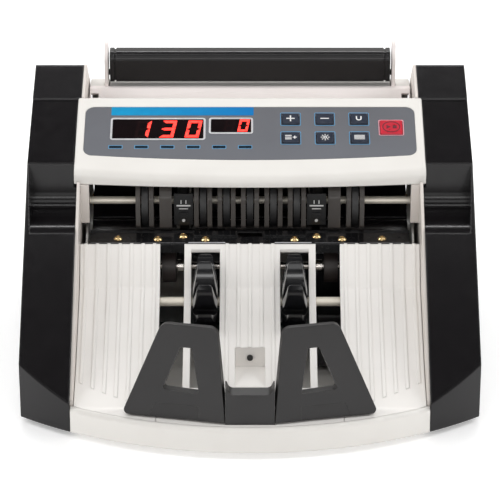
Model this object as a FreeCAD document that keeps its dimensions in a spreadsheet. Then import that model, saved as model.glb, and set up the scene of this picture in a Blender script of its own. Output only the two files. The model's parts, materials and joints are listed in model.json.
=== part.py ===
"""Banknote counter: a desktop machine that takes a stack of notes from a hopper behind its display,
counts them round a set of rollers and lays them on a ribbed stacker at the front.

Millimetres.  +X is the machine's left-to-right as an operator sees it, -Y faces the operator, +Z is up.
The origin is on the table, under the middle of the machine.
"""
import FreeCAD, Part
import math
import os

import Sketcher

App = FreeCAD
Vec = FreeCAD.Vector
Turn = FreeCAD.Rotation

doc = FreeCAD.newDocument("banknote_counter")

# --------------------------------------------------------------------------------------------------
# Driving dimensions
# --------------------------------------------------------------------------------------------------

CELLS = [
    # the whole machine
    ("width_all", 290.0, "over the two side covers"),
    ("ground_gap", 4.0, "underside of the base above the table"),
    ("arc_radius", 240.0, "plan radius of the curved front"),
    ("front_y", -137.5, "foremost point of the curved front"),
    ("rear_y", 137.5, "rear faces of the covers"),
    ("wall", 2.5, "wall of the mouldings"),
    # side profile of the covers
    ("cover_inner", 112.5, "inner edge of a side cover, from the middle"),
    ("toe_y", -90.5, "where the outer toe edge turns into the long slope"),
    ("toe_z", 39.4, "height of that turn"),
    ("knee_y", 19.5, "front edge of the display slope"),
    ("knee_z", 133.0, "height of the knee"),
    ("shoulder_y", 75.5, "rear edge of the display slope"),
    ("shoulder_z", 157.0, "height of the shoulder"),
    ("crest_y", 108.2, "highest line of the covers"),
    ("crest_z", 169.2, "height of the crest"),
    ("heel_z", 147.0, "top of the rear face"),
    ("ledge_z", 103.5, "ledge of the grip scoop in each cover"),
    # stacker
    ("rim_z", 20.5, "rim of the front apron"),
    ("tray_front_y", -108.9, "where the stacker slope meets the flat sill"),
    ("tray_low_y", -79.2, "lower crease of the stacker plates"),
    ("tray_low_z", 32.0, "height of the lower crease"),
    ("tray_high_y", -24.8, "upper crease of the stacker plates"),
    ("tray_high_z", 63.4, "height of the upper crease"),
    ("tray_top_y", -7.9, "top edge of the stacker plates"),
    ("tray_top_z", 87.5, "height of that edge"),
    ("tray_sheet", 2.0, "thickness of a stacker plate"),
    ("side_plate_gap", 58.2, "inner edge of an outer stacker plate, from the middle"),
    ("mid_plate_half", 42.5, "half width of the middle stacker plate"),
    ("slot_inner", 19.5, "inner edge of an impeller slot, from the middle"),
    ("slot_outer", 38.0, "outer edge of an impeller slot, from the middle"),
    # shafts
    ("count_y", 27.5, "count shaft"),
    ("count_z", 103.5, "count shaft"),
    ("count_roller_r", 17.5, "count roller radius"),
    ("count_shaft_r", 2.5, "count shaft radius"),
    ("exit_y", 7.5, "exit roller shaft"),
    ("exit_z", 65.0, "exit roller shaft"),
    ("stack_y", -26.5, "impeller shaft"),
    ("stack_z", 55.0, "impeller shaft"),
    ("impeller_r", 31.0, "impeller tip radius"),
    ("impeller_x", 28.8, "middle of an impeller, from the middle"),
    ("feed_y", 65.3, "feed roller shaft"),
    ("feed_z", 87.8, "feed roller shaft"),
    ("feed_roller_r", 15.0, "feed roller radius"),
    ("frame_x", 106.0, "inner face of a steel side plate, from the middle"),
    ("frame_sheet", 1.5, "thickness of a steel side plate"),
    # control panel, measured along the display slope from the knee
    ("panel_half", 109.0, "half width of the panel overlay"),
    ("panel_top", 52.3, "upper edge of the overlay"),
    ("panel_low", 7.0, "lower edge of the overlay at its ends"),
    ("panel_mid", 2.8, "lower edge of the overlay in the middle"),
    ("overlay_sheet", 0.6, "thickness of the overlay"),
    ("key_width", 11.2, "small key"),
    ("key_length", 9.8, "small key"),
    ("key_pitch", 22.6, "between key columns"),
    ("key_first_x", 26.8, "first key column"),
    ("key_row_high", 40.8, "upper key row"),
    ("key_row_low", 23.1, "lower key row"),
    ("key_gap", 0.35, "running gap round a key"),
    # hopper
    ("hopper_half", 109.3, "half width of the hopper plate"),
    ("hopper_low_y", 67.0, "lower end of the hopper plate"),
    ("hopper_low_z", 104.5, "lower end of the hopper plate"),
    ("hopper_top_y", 113.5, "upper end of the hopper plate"),
    ("hopper_top_z", 150.0, "upper end of the hopper plate"),
    ("flap_half", 95.5, "half length of the note support flap"),
    ("flap_y", 115.0, "front face of the flap"),
    ("flap_depth", 15.0, "flap front to back"),
    ("flap_low", 153.4, "underside of the flap"),
    ("flap_high", 174.6, "top of the flap"),
    ("flap_pin_y", 125.5, "flap hinge"),
    ("flap_pin_z", 157.5, "flap hinge"),
    ("hatch_y", 131.0, "hinge of the rear hatch"),
    ("hatch_z", 46.0, "hinge of the rear hatch"),
]

sheet = doc.addObject("Spreadsheet::Sheet", "dims")
for row, (alias, number, note) in enumerate(CELLS, start=1):
    sheet.set(f"A{row}", alias)
    sheet.set(f"B{row}", str(number))
    sheet.set(f"C{row}", note)
    sheet.setAlias(f"B{row}", alias)
doc.recompute()


class Size:
    """A number with the spreadsheet formula that gives it, so that an object can be bound to the sheet."""

    def __init__(self, text, value):
        self.text = text
        self.value = value

    def _with(self, other, sign, value):
        text = other.text if isinstance(other, Size) else repr(float(other))
        return Size(f"({self.text} {sign} {text})", value)

    def __add__(self, other):
        return self._with(other, "+", self.value + number_of(other))

    def __sub__(self, other):
        return self._with(other, "-", self.value - number_of(other))

    def __mul__(self, other):
        return self._with(other, "*", self.value * number_of(other))

    def __neg__(self):
        return Size(f"(0 - {self.text})", -self.value)

    __radd__ = __add__
    __rmul__ = __mul__


def number_of(size):
    """The plain number of a Size or of a number."""
    return size.value if isinstance(size, Size) else float(size)


class Dimensions:
    """Each cell of the sheet as an attribute."""


dim = Dimensions()
for alias, _, _ in CELLS:
    setattr(dim, alias, Size(f"dims.{alias}", float(sheet.get(alias))))

PARTS = []


def keep(node, label):
    """Marks a document object as a finished sub-part."""
    node.Label = label
    PARTS.append(node)
    return node


def bind(node, prop, size):
    """Sets a property, through the sheet where the size comes from it."""
    if isinstance(size, Size):
        node.setExpression(prop, size.text)
    else:
        setattr(node, prop, float(size))


def place(node, x=0, y=0, z=0, turn=None):
    """Puts a node at a point, bound to the sheet where the point comes from it."""
    spot = Vec(number_of(x), number_of(y), number_of(z))
    node.Placement = App.Placement(spot, turn or Turn())
    for axis, size in (("x", x), ("y", y), ("z", z)):
        if isinstance(size, Size):
            node.setExpression(f".Placement.Base.{axis}", size.text)
    return node


# --------------------------------------------------------------------------------------------------
# Builders
# --------------------------------------------------------------------------------------------------

ALONG_X = Turn(Vec(0, 1, 0), 90)
ALONG_Y = Turn(Vec(1, 0, 0), -90)


def block(name, length, depth, height, x, y, z, turn=None):
    """A box with its low corner at x, y, z."""
    node = doc.addObject("Part::Box", name)
    bind(node, "Length", length)
    bind(node, "Width", depth)
    bind(node, "Height", height)
    return place(node, x, y, z, turn)


def rod(name, radius, length, x, y, z, turn=ALONG_X):
    """A cylinder whose base is at x, y, z and whose axis is along X unless turned."""
    node = doc.addObject("Part::Cylinder", name)
    bind(node, "Radius", radius)
    bind(node, "Height", length)
    return place(node, x, y, z, turn)


def cut(name, base, tools):
    """base with every tool taken away."""
    if len(tools) > 1:
        cutter = doc.addObject("Part::MultiFuse", name + "_cutter")
        cutter.Shapes = tools
    else:
        cutter = tools[0]
    node = doc.addObject("Part::Cut", name)
    node.Base = base
    node.Tool = cutter
    return node


def fuse(name, members):
    node = doc.addObject("Part::MultiFuse", name)
    node.Shapes = members
    return node


def group(name, members):
    """Separate solids that share one node."""
    node = doc.addObject("Part::Compound", name)
    node.Links = members
    return node


def solid(name, shape):
    """A node for a shape that code has made."""
    node = doc.addObject("Part::Feature", name)
    node.Shape = shape
    return node


def origin_plane(body, role):
    return next(f for f in body.Origin.OriginFeatures if f.Role == role)


def outline_sketch(body, name, plane, points):
    """A closed outline of straight edges, each corner held by two dimensions from the origin."""
    sketch = body.newObject("Sketcher::SketchObject", name)
    sketch.AttachmentSupport = [(origin_plane(body, plane), "")]
    sketch.MapMode = "FlatFace"
    spots = [Vec(number_of(a), number_of(b), 0) for a, b in points]
    count = len(spots)
    for i in range(count):
        sketch.addGeometry(Part.LineSegment(spots[i], spots[(i + 1) % count]), False)
    for i in range(count):
        sketch.addConstraint(Sketcher.Constraint("Coincident", i, 2, (i + 1) % count, 1))
    for i, pair in enumerate(points):
        for kind, size in zip(("DistanceX", "DistanceY"), pair):
            held = sketch.addConstraint(Sketcher.Constraint(kind, -1, 1, i, 1, number_of(size)))
            if isinstance(size, Size):
                sketch.setExpression(f"Constraints[{held}]", size.text)
    return sketch


def padded_outline(name, plane, points, length, middle=False, backwards=False):
    """A body whose outline in an origin plane is padded along that plane's normal."""
    body = doc.addObject("PartDesign::Body", name)
    sketch = outline_sketch(body, name + "_outline", plane, points)
    pad = body.newObject("PartDesign::Pad", name + "_pad")
    pad.Profile = sketch
    if middle:
        pad.Midplane = True
    if backwards:
        pad.Reversed = True
    bind(pad, "Length", length)
    return body


def rounded_outline(points, to_space):
    """A wire through 2-D points, each (a, b, radius); a radius of 0 leaves a sharp corner.
    to_space turns a 2-D point into a 3-D one."""
    count = len(points)
    runs = []
    for i, (a, b, radius) in enumerate(points):
        here = Vec(a, b, 0)
        before = Vec(*points[i - 1][:2], 0) - here
        after = Vec(*points[(i + 1) % count][:2], 0) - here
        if radius == 0:
            runs.append((here, here, None))
            continue
        half = before.getAngle(after) / 2
        setback = radius / math.tan(half)
        before.normalize()
        after.normalize()
        middle = before + after
        middle.normalize()
        nearest = here + middle * (radius / math.sin(half) - radius)
        runs.append((here + before * setback, here + after * setback, nearest))
    edges = []
    for i, (start, end, nearest) in enumerate(runs):
        if nearest is not None:
            edges.append(Part.Arc(to_space(start), to_space(nearest), to_space(end)).toShape())
        following = runs[(i + 1) % count][0]
        if (following - end).Length > 1e-6:
            edges.append(Part.LineSegment(to_space(end), to_space(following)).toShape())
    return Part.Wire(edges)


def prism_x(points, low_x, high_x):
    """A solid whose rounded outline lies in the Y-Z plane, from low_x to high_x."""
    wire = rounded_outline(points, lambda p: Vec(low_x, p.x, p.y))
    return Part.Face(wire).extrude(Vec(high_x - low_x, 0, 0))


def prism_z(points, low_z, high_z):
    """A solid whose rounded outline lies in the X-Y plane, from low_z to high_z."""
    wire = rounded_outline(points, lambda p: Vec(p.x, p.y, low_z))
    return Part.Face(wire).extrude(Vec(0, 0, high_z - low_z))


def plan_disc(radius, low_z=-10.0, high_z=250.0):
    """The round plan outline of the front, as an upright cylinder."""
    centre_y = dim.front_y.value + dim.arc_radius.value
    return Part.makeCylinder(radius, high_z - low_z, Vec(0, centre_y, low_z))


def mirrored(shape):
    return shape.mirror(Vec(0, 0, 0), Vec(1, 0, 0))


# --------------------------------------------------------------------------------------------------
# Side covers and the light cheeks that line them
# --------------------------------------------------------------------------------------------------


def cover_profile(inset, low_z):
    """Side outline of a cover, every face moved in by inset."""
    slope_1 = math.atan2(dim.knee_z.value - dim.toe_z.value, dim.knee_y.value - dim.toe_y.value)
    slope_2 = math.atan2(dim.shoulder_z.value - dim.knee_z.value, dim.shoulder_y.value - dim.knee_y.value)
    slope_3 = math.atan2(dim.crest_z.value - dim.shoulder_z.value, dim.crest_y.value - dim.shoulder_y.value)
    slope_4 = math.atan2(dim.heel_z.value - dim.crest_z.value, dim.rear_y.value - dim.crest_y.value)

    def corner(y, z, before, after):
        """A corner moved in square to both of its faces."""
        half = (after - before) / 2
        along = (before + after) / 2
        reach = inset / math.cos(half)
        return y + reach * math.sin(along), z - reach * math.cos(along)

    knee = corner(dim.knee_y.value, dim.knee_z.value, slope_1, slope_2)
    shoulder = corner(dim.shoulder_y.value, dim.shoulder_z.value, slope_2, slope_3)
    crest = corner(dim.crest_y.value, dim.crest_z.value, slope_3, slope_4)
    heel = corner(dim.rear_y.value, dim.heel_z.value, slope_4, -math.pi / 2)
    start_y = dim.toe_y.value - 36.0
    start_z = knee[1] - (knee[0] - start_y) * math.tan(slope_1)
    ridge = 3.0
    return [
        (start_y, low_z, 0),
        (start_y, start_z, 0),
        (*knee, ridge),
        (*shoulder, ridge),
        (*crest, ridge),
        (*heel, ridge),
        (dim.rear_y.value - inset, low_z, 0),
    ]


BROW_STEP = 1.1


def scoop(grow):
    """The grip scoop: an upright back, a round foot and a ledge, with a slanted cheek at its outer end.

    The knee above it and the ledge's front edge are rolled over, except in the inner skin."""
    back_y = dim.knee_y.value - 0.8 + grow
    floor_z = dim.ledge_z.value - grow
    front_y = dim.toe_y.value + 36.0
    slope = (dim.knee_z.value - dim.toe_z.value) / (dim.knee_y.value - dim.toe_y.value)
    display = (dim.shoulder_z.value - BROW_STEP - dim.knee_z.value) / (dim.shoulder_y.value - dim.knee_y.value)
    edge_z = floor_z - 1.0
    edge_y = dim.toe_y.value + (edge_z - dim.toe_z.value) / slope
    rolled = grow == 0.0
    side = [(back_y, 170.0, 0)]
    if rolled:
        above = display * 12.8 + 0.25
        side = [(back_y + 12.0, 170.0, 0), (back_y + 12.0, dim.knee_z.value + above, 0)]
        side += [(back_y, dim.knee_z.value - 0.4, 2.2)]
    side += [(back_y, floor_z, 9.0 + grow)]
    if rolled:
        side += [(edge_y, edge_z, 15.0), (edge_y - 30.0, edge_z - 30.0 * slope + 0.5, 0)]
        side += [(edge_y - 40.0, edge_z - 30.0 * slope + 0.5, 0), (edge_y - 40.0, 170.0, 0)]
    else:
        side += [(front_y, edge_z, 0), (front_y, 170.0, 0)]
    outer = dim.width_all.value / 2
    plan = [
        (dim.cover_inner.value - 5.0, front_y, 0),
        (outer - 5.6 + grow, front_y, 0),
        (outer - 0.9 + grow * 0.4, back_y + 2.0, 0),
        (dim.cover_inner.value - 5.0, back_y + 2.0, 0),
    ]
    inner = dim.cover_inner.value
    return prism_x(side, inner - 5.0, outer + 5.0).common(prism_z(plan, 60.0, 180.0))


def side_cover():
    """The right-hand cover: a hollow black shell, open on its inner side."""
    wall = dim.wall.value
    inner = dim.cover_inner.value
    outer = dim.width_all.value / 2
    base = dim.ground_gap.value
    body = prism_x(cover_profile(0.0, base), inner, outer)
    body = body.common(plan_disc(dim.arc_radius.value))
    # the housing overlaps the inner edge of the display slope
    lap = prism_x(
        [
            (dim.knee_y.value - 9.0, 116.0, 0),
            (dim.shoulder_y.value + 0.4, 116.0, 0),
            (dim.shoulder_y.value + 0.4, 200.0, 0),
            (dim.knee_y.value - 9.0, 200.0, 0),
        ],
        inner - 1.0,
        inner + 2.3,
    )
    body = body.cut(scoop(0.0)).cut(lap)
    toe_edges = []
    for edge in body.Edges:
        middle = edge.valueAt((edge.FirstParameter + edge.LastParameter) / 2)
        on_toe = middle.y < dim.toe_y.value + 1.0 and base + 2.0 < middle.z < dim.toe_z.value
        if on_toe and inner + 4.0 < middle.x < outer - 4.0:
            toe_edges.append(edge)
    body = body.makeFillet(1.3, toe_edges)
    # a small rounded step across the top of the display slope
    rise = (dim.crest_z.value - dim.shoulder_z.value) / (dim.crest_y.value - dim.shoulder_y.value)
    brow = [
        (dim.knee_y.value + 1.0, dim.knee_z.value + 0.45, 0),
        (dim.shoulder_y.value, dim.shoulder_z.value - BROW_STEP, 0.3),
        (dim.shoulder_y.value, dim.shoulder_z.value + 0.05, 0.8),
        (dim.shoulder_y.value + 8.0, dim.shoulder_z.value + 0.15 + 8.0 * rise, 0),
        (dim.shoulder_y.value + 8.0, dim.shoulder_z.value + 9.0, 0),
        (dim.knee_y.value + 1.0, dim.knee_z.value + 9.0, 0),
    ]
    body = body.cut(prism_x(brow, inner - 1.0, outer + 1.0))
    cavity = prism_x(cover_profile(wall, base + wall), inner - 1.0, outer - wall)
    cavity = cavity.common(plan_disc(dim.arc_radius.value - wall))
    cavity = cavity.cut(scoop(wall))
    lap_corner = Vec(inner - 1.0, dim.knee_y.value - 9.0 - wall, 116.0 - wall)
    lap_wall = Part.makeBox(wall + 2.4, 68.0 + wall, 60.0, lap_corner)
    return body.cut(cavity.cut(lap_wall))


cover_shape = side_cover()
keep(solid("right_cover", cover_shape), "right_side_cover")
keep(solid("left_cover", mirrored(cover_shape)), "left_side_cover")

CHEEK = 2.0
STACK_MOTOR_Y = -20.5
STACK_MOTOR_Z = 23.8
cheek_points = [
    (dim.toe_y - 15.5, dim.ground_gap + 20.5),
    (dim.knee_y - 9.4, dim.knee_z - 9.4),
    (dim.knee_y - 9.4, dim.knee_z - 18.0),
    (dim.shoulder_y + 0.8, dim.knee_z - 18.0),
    (dim.shoulder_y + 0.8, dim.shoulder_z + 0.1),
    (dim.crest_y, dim.crest_z - 0.4),
    (dim.rear_y - 0.6, dim.heel_z - 0.6),
    (dim.rear_y - 0.6, dim.ground_gap + 4.0),
    (dim.toe_y - 15.5, dim.ground_gap + 4.0),
]
SHAFT_HOLE_SPARE = 0.9
for side, offset in (("left", -dim.cover_inner + 0.1), ("right", dim.cover_inner - CHEEK - 0.1)):
    cheek = padded_outline(f"{side}_cheek_plate", "YZ_Plane", cheek_points, CHEEK)
    place(cheek, x=offset)
    lug_x = -dim.cover_inner + 0.1 + CHEEK if side == "left" else dim.cover_inner - 0.1 - CHEEK - 5.6
    lug = block(f"{side}_lug", 5.6, 6.5, 26.4, lug_x, dim.knee_y - 9.2, 94.5)
    whole = fuse(f"{side}_cheek_whole", [cheek, lug])
    if side == "right":
        hole_x = dim.cover_inner - 5.0
        through = [
            rod("cheek_shaft_hole", 3.0 + SHAFT_HOLE_SPARE, 8.0, hole_x, dim.stack_y, dim.stack_z),
            rod("cheek_axle_hole", 1.9 + SHAFT_HOLE_SPARE, 8.0, hole_x, STACK_MOTOR_Y, STACK_MOTOR_Z),
        ]
        whole = cut("right_cheek_drilled", whole, through)
    keep(whole, f"{side}_inner_cheek")

# --------------------------------------------------------------------------------------------------
# Base tray
# --------------------------------------------------------------------------------------------------

BASE_HALF = 112.2
REAR_WALL_TOP = 39.2
HINGE_X = [-100.0, 62.0]
HINGE_WIDTH = 28.0
HINGE_PIN_R = 1.5


def base_tray():
    """Shallow tray with the curved front apron, closed by a low rear wall."""
    base = dim.ground_gap.value
    wall = dim.wall.value
    rear = dim.rear_y.value
    half = BASE_HALF
    narrow = dim.cover_inner.value - CHEEK - 0.4
    step = dim.toe_y.value - 16.0
    outline = [(-half, -200, 0), (half, -200, 0), (half, step, 0), (narrow, step, 0), (narrow, rear, 0)]
    outline += [(-narrow, rear, 0), (-narrow, step, 0), (-half, step, 0)]
    body = prism_z(outline, base, 42.0).common(plan_disc(dim.arc_radius.value))
    side = [
        (-200.0, base, 0),
        (-200.0, dim.rim_z.value, 0),
        (step, dim.rim_z.value, 0),
        (step, base + 8.0, 0),
        (rear - 8.0, base + 8.0, 0),
        (rear - 8.0, REAR_WALL_TOP, 0),
        (rear + 1.0, REAR_WALL_TOP, 0),
        (rear + 1.0, base, 0),
    ]
    body = body.common(prism_x(side, -half, half))
    rim = [e for e in body.Edges if min(v.Z for v in e.Vertexes) > dim.rim_z.value - 0.1
           and max(v.Y for v in e.Vertexes) < dim.tray_front_y.value
           and not isinstance(e.Curve, Part.Line)]
    body = body.makeFillet(2.6, rim)
    inside = narrow - wall
    floor = [(-inside, -200, 0), (inside, -200, 0), (inside, rear - wall, 0), (-inside, rear - wall, 0)]
    room = prism_z(floor, base + wall, 60.0)
    body = body.cut(room.common(plan_disc(dim.arc_radius.value - 3.2)))
    # the stacker plates rest inside the rim
    seat_z = dim.rim_z.value - dim.tray_sheet.value - 0.6
    seat = Part.makeBox(2 * narrow, 60.0, 60.0, Vec(-narrow, step - 50.0, seat_z))
    body = body.cut(seat.common(plan_disc(dim.arc_radius.value - 3.3)))
    # the inlet and the switch sit in the rear wall
    entry_hole = Part.makeBox(56.7, 20.0, 24.2, Vec(-87.6, rear - 10.0, 10.4))
    foot_holes = [Part.makeCylinder(2.6, 10.0, Vec(x, y, base - 1.0)) for x, y in FOOT_SPOTS]
    return body.cut([entry_hole] + foot_holes).fuse(hinge_posts())


def hinge_post_spots():
    """Left faces of the four hinge posts, one post at each side of each hatch knuckle."""
    return [low_x for x in HINGE_X for low_x in (x - 3.6, x + HINGE_WIDTH + 0.4)]


def hinge_posts():
    """Posts behind the rear wall, with the two pins of the rear hatch between them."""
    back = dim.rear_y.value - dim.wall.value
    side = [
        (dim.hatch_y.value - 2.5, 36.0, 0),
        (back + 0.1, 33.4, 0),
        (back + 0.1, REAR_WALL_TOP, 0),
        (dim.hatch_y.value + 2.5, REAR_WALL_TOP, 0),
        (dim.hatch_y.value + 2.5, dim.hatch_z.value + 2.4, 2.0),
        (dim.hatch_y.value - 2.5, dim.hatch_z.value + 2.4, 2.0),
    ]
    made = [prism_x(side, low_x, low_x + 3.2) for low_x in hinge_post_spots()]
    for x in HINGE_X:
        axle = Vec(x - 4.0, dim.hatch_y.value, dim.hatch_z.value)
        made.append(Part.makeCylinder(HINGE_PIN_R, HINGE_WIDTH + 8.0, axle, Vec(1, 0, 0)))
    return made


FOOT_SPOTS = [(-88.0, -88.0), (88.0, -88.0), (-88.0, 112.0), (88.0, 112.0)]
keep(solid("base", base_tray()), "base_tray")


def rubber_foot(x, y):
    """A round foot with a push-in stem."""
    pad = Part.makeCone(7.5, 8.5, 4.0, Vec(x, y, 0))
    stem = Part.makeCylinder(2.5, 5.0, Vec(x, y, 4.0))
    head = Part.makeCone(3.4, 2.0, 2.5, Vec(x, y, dim.ground_gap.value + dim.wall.value + 0.05))
    return pad.fuse([stem, head])


keep(solid("feet", Part.makeCompound([rubber_foot(x, y) for x, y in FOOT_SPOTS])), "rubber_feet")

# --------------------------------------------------------------------------------------------------
# Stacker: three ribbed plates, the note stops and the empty-stacker sensor
# --------------------------------------------------------------------------------------------------

RIB_PITCH = 7.4
RIB_WIDTH = 2.2
RIB_HEIGHT = 0.5


def tray_line(raise_by):
    """The plates' upper line from top to front, moved up by raise_by."""
    return [
        (dim.tray_top_y.value, dim.tray_top_z.value + raise_by),
        (dim.tray_high_y.value, dim.tray_high_z.value + raise_by),
        (dim.tray_low_y.value, dim.tray_low_z.value + raise_by),
        (dim.tray_front_y.value, dim.rim_z.value + raise_by),
        (dim.front_y.value - 5.0, dim.rim_z.value + raise_by),
    ]


def tray_band(low_x, high_x, top, bottom):
    """A strip that follows the stacker slope between two heights measured from its upper line."""
    upper = tray_line(top)
    lower = tray_line(bottom)
    crease = 6.0
    points = [(*upper[0], 0), (*upper[1], crease), (*upper[2], crease), (*upper[3], crease), (*upper[4], 0)]
    back = [(*lower[4], 0), (*lower[3], crease), (*lower[2], crease), (*lower[1], crease), (*lower[0], 0)]
    return prism_x(points + back, low_x, high_x)


def stacker_plate(low_x, high_x, rib_low, rib_high):
    """A bent plate with fine raised ribs that run down it."""
    thickness = dim.tray_sheet.value / math.cos(math.radians(32.0))
    plate = tray_band(low_x, high_x, 0.0, -thickness)
    ribs = []
    middle = (rib_low + rib_high) / 2
    half_count = int((rib_high - rib_low) / 2 / RIB_PITCH)
    for i in range(-half_count, half_count + 1):
        x = middle + i * RIB_PITCH
        ribs.append(tray_band(x - RIB_WIDTH / 2, x + RIB_WIDTH / 2, RIB_HEIGHT, -0.5))
    ribs = [rib.common(plan_disc(dim.arc_radius.value - 20.0)) for rib in ribs]
    return plate.common(plan_disc(dim.arc_radius.value - 3.5)).fuse(ribs).removeSplitter()


outer_edge = dim.cover_inner.value - CHEEK - 0.5
gap_edge = dim.side_plate_gap.value
right_plate = stacker_plate(gap_edge, outer_edge, gap_edge + 1.0, outer_edge - 1.0)
keep(solid("right_plate", right_plate), "stacker_plate_right")
keep(solid("left_plate", mirrored(right_plate)), "stacker_plate_left")


def middle_plate():
    half = dim.mid_plate_half.value
    plate = stacker_plate(-half, half, -dim.slot_inner.value + 1.0, dim.slot_inner.value - 1.0)
    slot_width = dim.slot_outer.value - dim.slot_inner.value
    slots = []
    for low_x in (dim.slot_inner.value, -dim.slot_outer.value):
        slots.append(Part.makeBox(slot_width, 83.5, 90.0, Vec(low_x, -93.5, 0)))
    # recess for the empty-stacker sensor, open to the front
    slots.append(Part.makeBox(19.0, 30.0, 40.0, Vec(-9.5, SENSOR_BACK_Y - 30.0, SENSOR_FLOOR_Z)))
    plate = plate.cut(slots)
    # the sill runs on under the gaps beside the plate
    edge = dim.side_plate_gap.value - 0.3
    thickness = dim.tray_sheet.value / math.cos(math.radians(32.0))
    sill = tray_band(-edge, edge, 0.0, -thickness).common(plan_disc(dim.arc_radius.value - 3.5))
    span = Part.makeBox(2 * edge, 60.0, 60.0, Vec(-edge, dim.tray_front_y.value - 60.0, 0))
    plate = plate.fuse(sill.common(span))
    pocket = Part.makeBox(21.8, 32.0, 22.0, Vec(-10.9, SENSOR_BACK_Y - 30.5, SENSOR_FLOOR_Z - 1.4))
    room = Part.makeBox(19.0, 31.0, 40.0, Vec(-9.5, SENSOR_BACK_Y - 31.0, SENSOR_FLOOR_Z))
    eye = Part.makeCylinder(2.0, 10.0, Vec(0, SENSOR_BACK_Y - 5.0, SENSOR_EYE_Z), Vec(0, 1, 0))
    walls = pocket.common(below_tray(-11.0, 11.0)).cut([room, eye])
    return plate.fuse(walls).removeSplitter()


def below_tray(low_x, high_x):
    """Everything under the stacker slope between two sides."""
    line = tray_line(-0.5)
    points = [(y, z, 0) for y, z in line] + [(dim.front_y.value - 5.0, 0, 0), (dim.tray_top_y.value, 0, 0)]
    return prism_x(points, low_x, high_x)


SENSOR_BACK_Y = -64.5
SENSOR_FLOOR_Z = 27.0
SENSOR_EYE_Z = 33.4
keep(solid("middle_plate", middle_plate()), "stacker_plate_middle")

lens = rod("sensor_lens", 1.9, 7.0, 0, SENSOR_BACK_Y - 1.0, SENSOR_EYE_Z, ALONG_Y)

STOP_LEAN = 6.0
STOP_FOOT = 8.5
STOP_TOP = 4.5


def stop_plate():
    """The right-hand A-shaped note stop in its own plane: X across, Y up the plate, thickness along +Z."""
    height = 61.5
    outline = [(-34.0, 0, 0), (31.6, 0, 3.0), (7.0, height, 6.0), (-28.0, height, 6.0), (-31.6, 24.0, 8.0)]
    window = [(-17.3, 17.8, 1.5), (6.0, 18.8, 1.5), (-5.3, 47.3, 1.5), (-12.6, 47.3, 1.5)]
    flat = lambda p: Vec(p.x, p.y, 0)
    face = Part.Face(rounded_outline(outline, flat))
    body = face.extrude(Vec(0, 0, STOP_FOOT))
    # the back tapers from the thick foot to the thin top
    taper = STOP_FOOT - STOP_TOP
    wedge = [Vec(-50, -1, 0), Vec(-50, height + 1, taper), Vec(-50, height + 1, -1), Vec(-50, -1, -1)]
    body = body.cut(Part.Face(Part.makePolygon(wedge + wedge[:1])).extrude(Vec(100, 0, 0)))
    front_edges = [e for e in body.Edges if min(v.Z for v in e.Vertexes) > STOP_FOOT - 0.1]
    body = body.makeFillet(0.7, front_edges)
    body = body.cut(Part.Face(rounded_outline(window, flat)).extrude(Vec(0, 0, 12.0)))
    # a shallow finger pad on the foot
    pad = [(-17.5, -1, 0), (15.0, -1, 0), (10.5, 9.5, 1.0), (-17.5, 9.5, 1.0)]
    wire = rounded_outline(pad, lambda p: Vec(p.x, p.y, STOP_FOOT - 0.4))
    return body.cut(Part.Face(wire).extrude(Vec(0, 0, 2.0)))


def stands_on_sill(shape, x, y, turn_z):
    """Stands a plate that was drawn lying in the X-Y plane on the sill, leaning back a little."""
    shape = shape.copy()
    upright = Turn(Vec(1, 0, 0), 90 - STOP_LEAN)
    facing = Turn(Vec(0, 0, 1), turn_z)
    shape.Placement = App.Placement(Vec(x, y, dim.rim_z.value + 0.15), facing.multiply(upright))
    return shape


# plan position of the front face of a stop: on a chord of the curved rim
STOP_X = 47.0
STOP_TURN = 11.8
STOP_Y = dim.front_y.value + 21.0
right_stop = stands_on_sill(stop_plate(), STOP_X, STOP_Y, STOP_TURN)
right_stop = right_stop.cut(Part.makeBox(15.3, 200.0, 200.0, Vec(0, -200, 0)))
# the foot is cut level with the sill
right_stop = right_stop.cut(Part.makeBox(300, 300, 20.0, Vec(-150, -200, dim.rim_z.value + 0.1 - 20.0)))
right_stop = right_stop.common(plan_disc(dim.arc_radius.value - 0.4))
keep(solid("stop_r", right_stop), "note_stop_right")
keep(solid("stop_l", mirrored(right_stop)), "note_stop_left")


def stop_bar():
    """The low bar between the two stops, with its upper corners swept up towards them."""
    front = dim.front_y.value + 6.0
    base = dim.rim_z.value + 0.1
    lean = math.tan(math.radians(STOP_LEAN))
    top = 40.0
    tip = top + 4.5
    back = front + 12.5
    side = [(front, base, 0), (front + (tip - base) * lean, tip, 0), (back, tip, 0), (back, base, 0)]
    bar = prism_x(side, -15.2, 15.2)
    trough = [(-14.9, tip + 1.0, 0), (-12.6, top, 3.5), (12.6, top, 3.5), (14.9, tip + 1.0, 0)]
    wire = rounded_outline(trough, lambda p: Vec(p.x, front - 5.0, p.y))
    return bar.cut(Part.Face(wire).extrude(Vec(0, 30.0, 0)))


keep(solid("bar", stop_bar()), "note_stop_bar")

# --------------------------------------------------------------------------------------------------
# Steel side plates, shafts and rollers
# --------------------------------------------------------------------------------------------------

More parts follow.
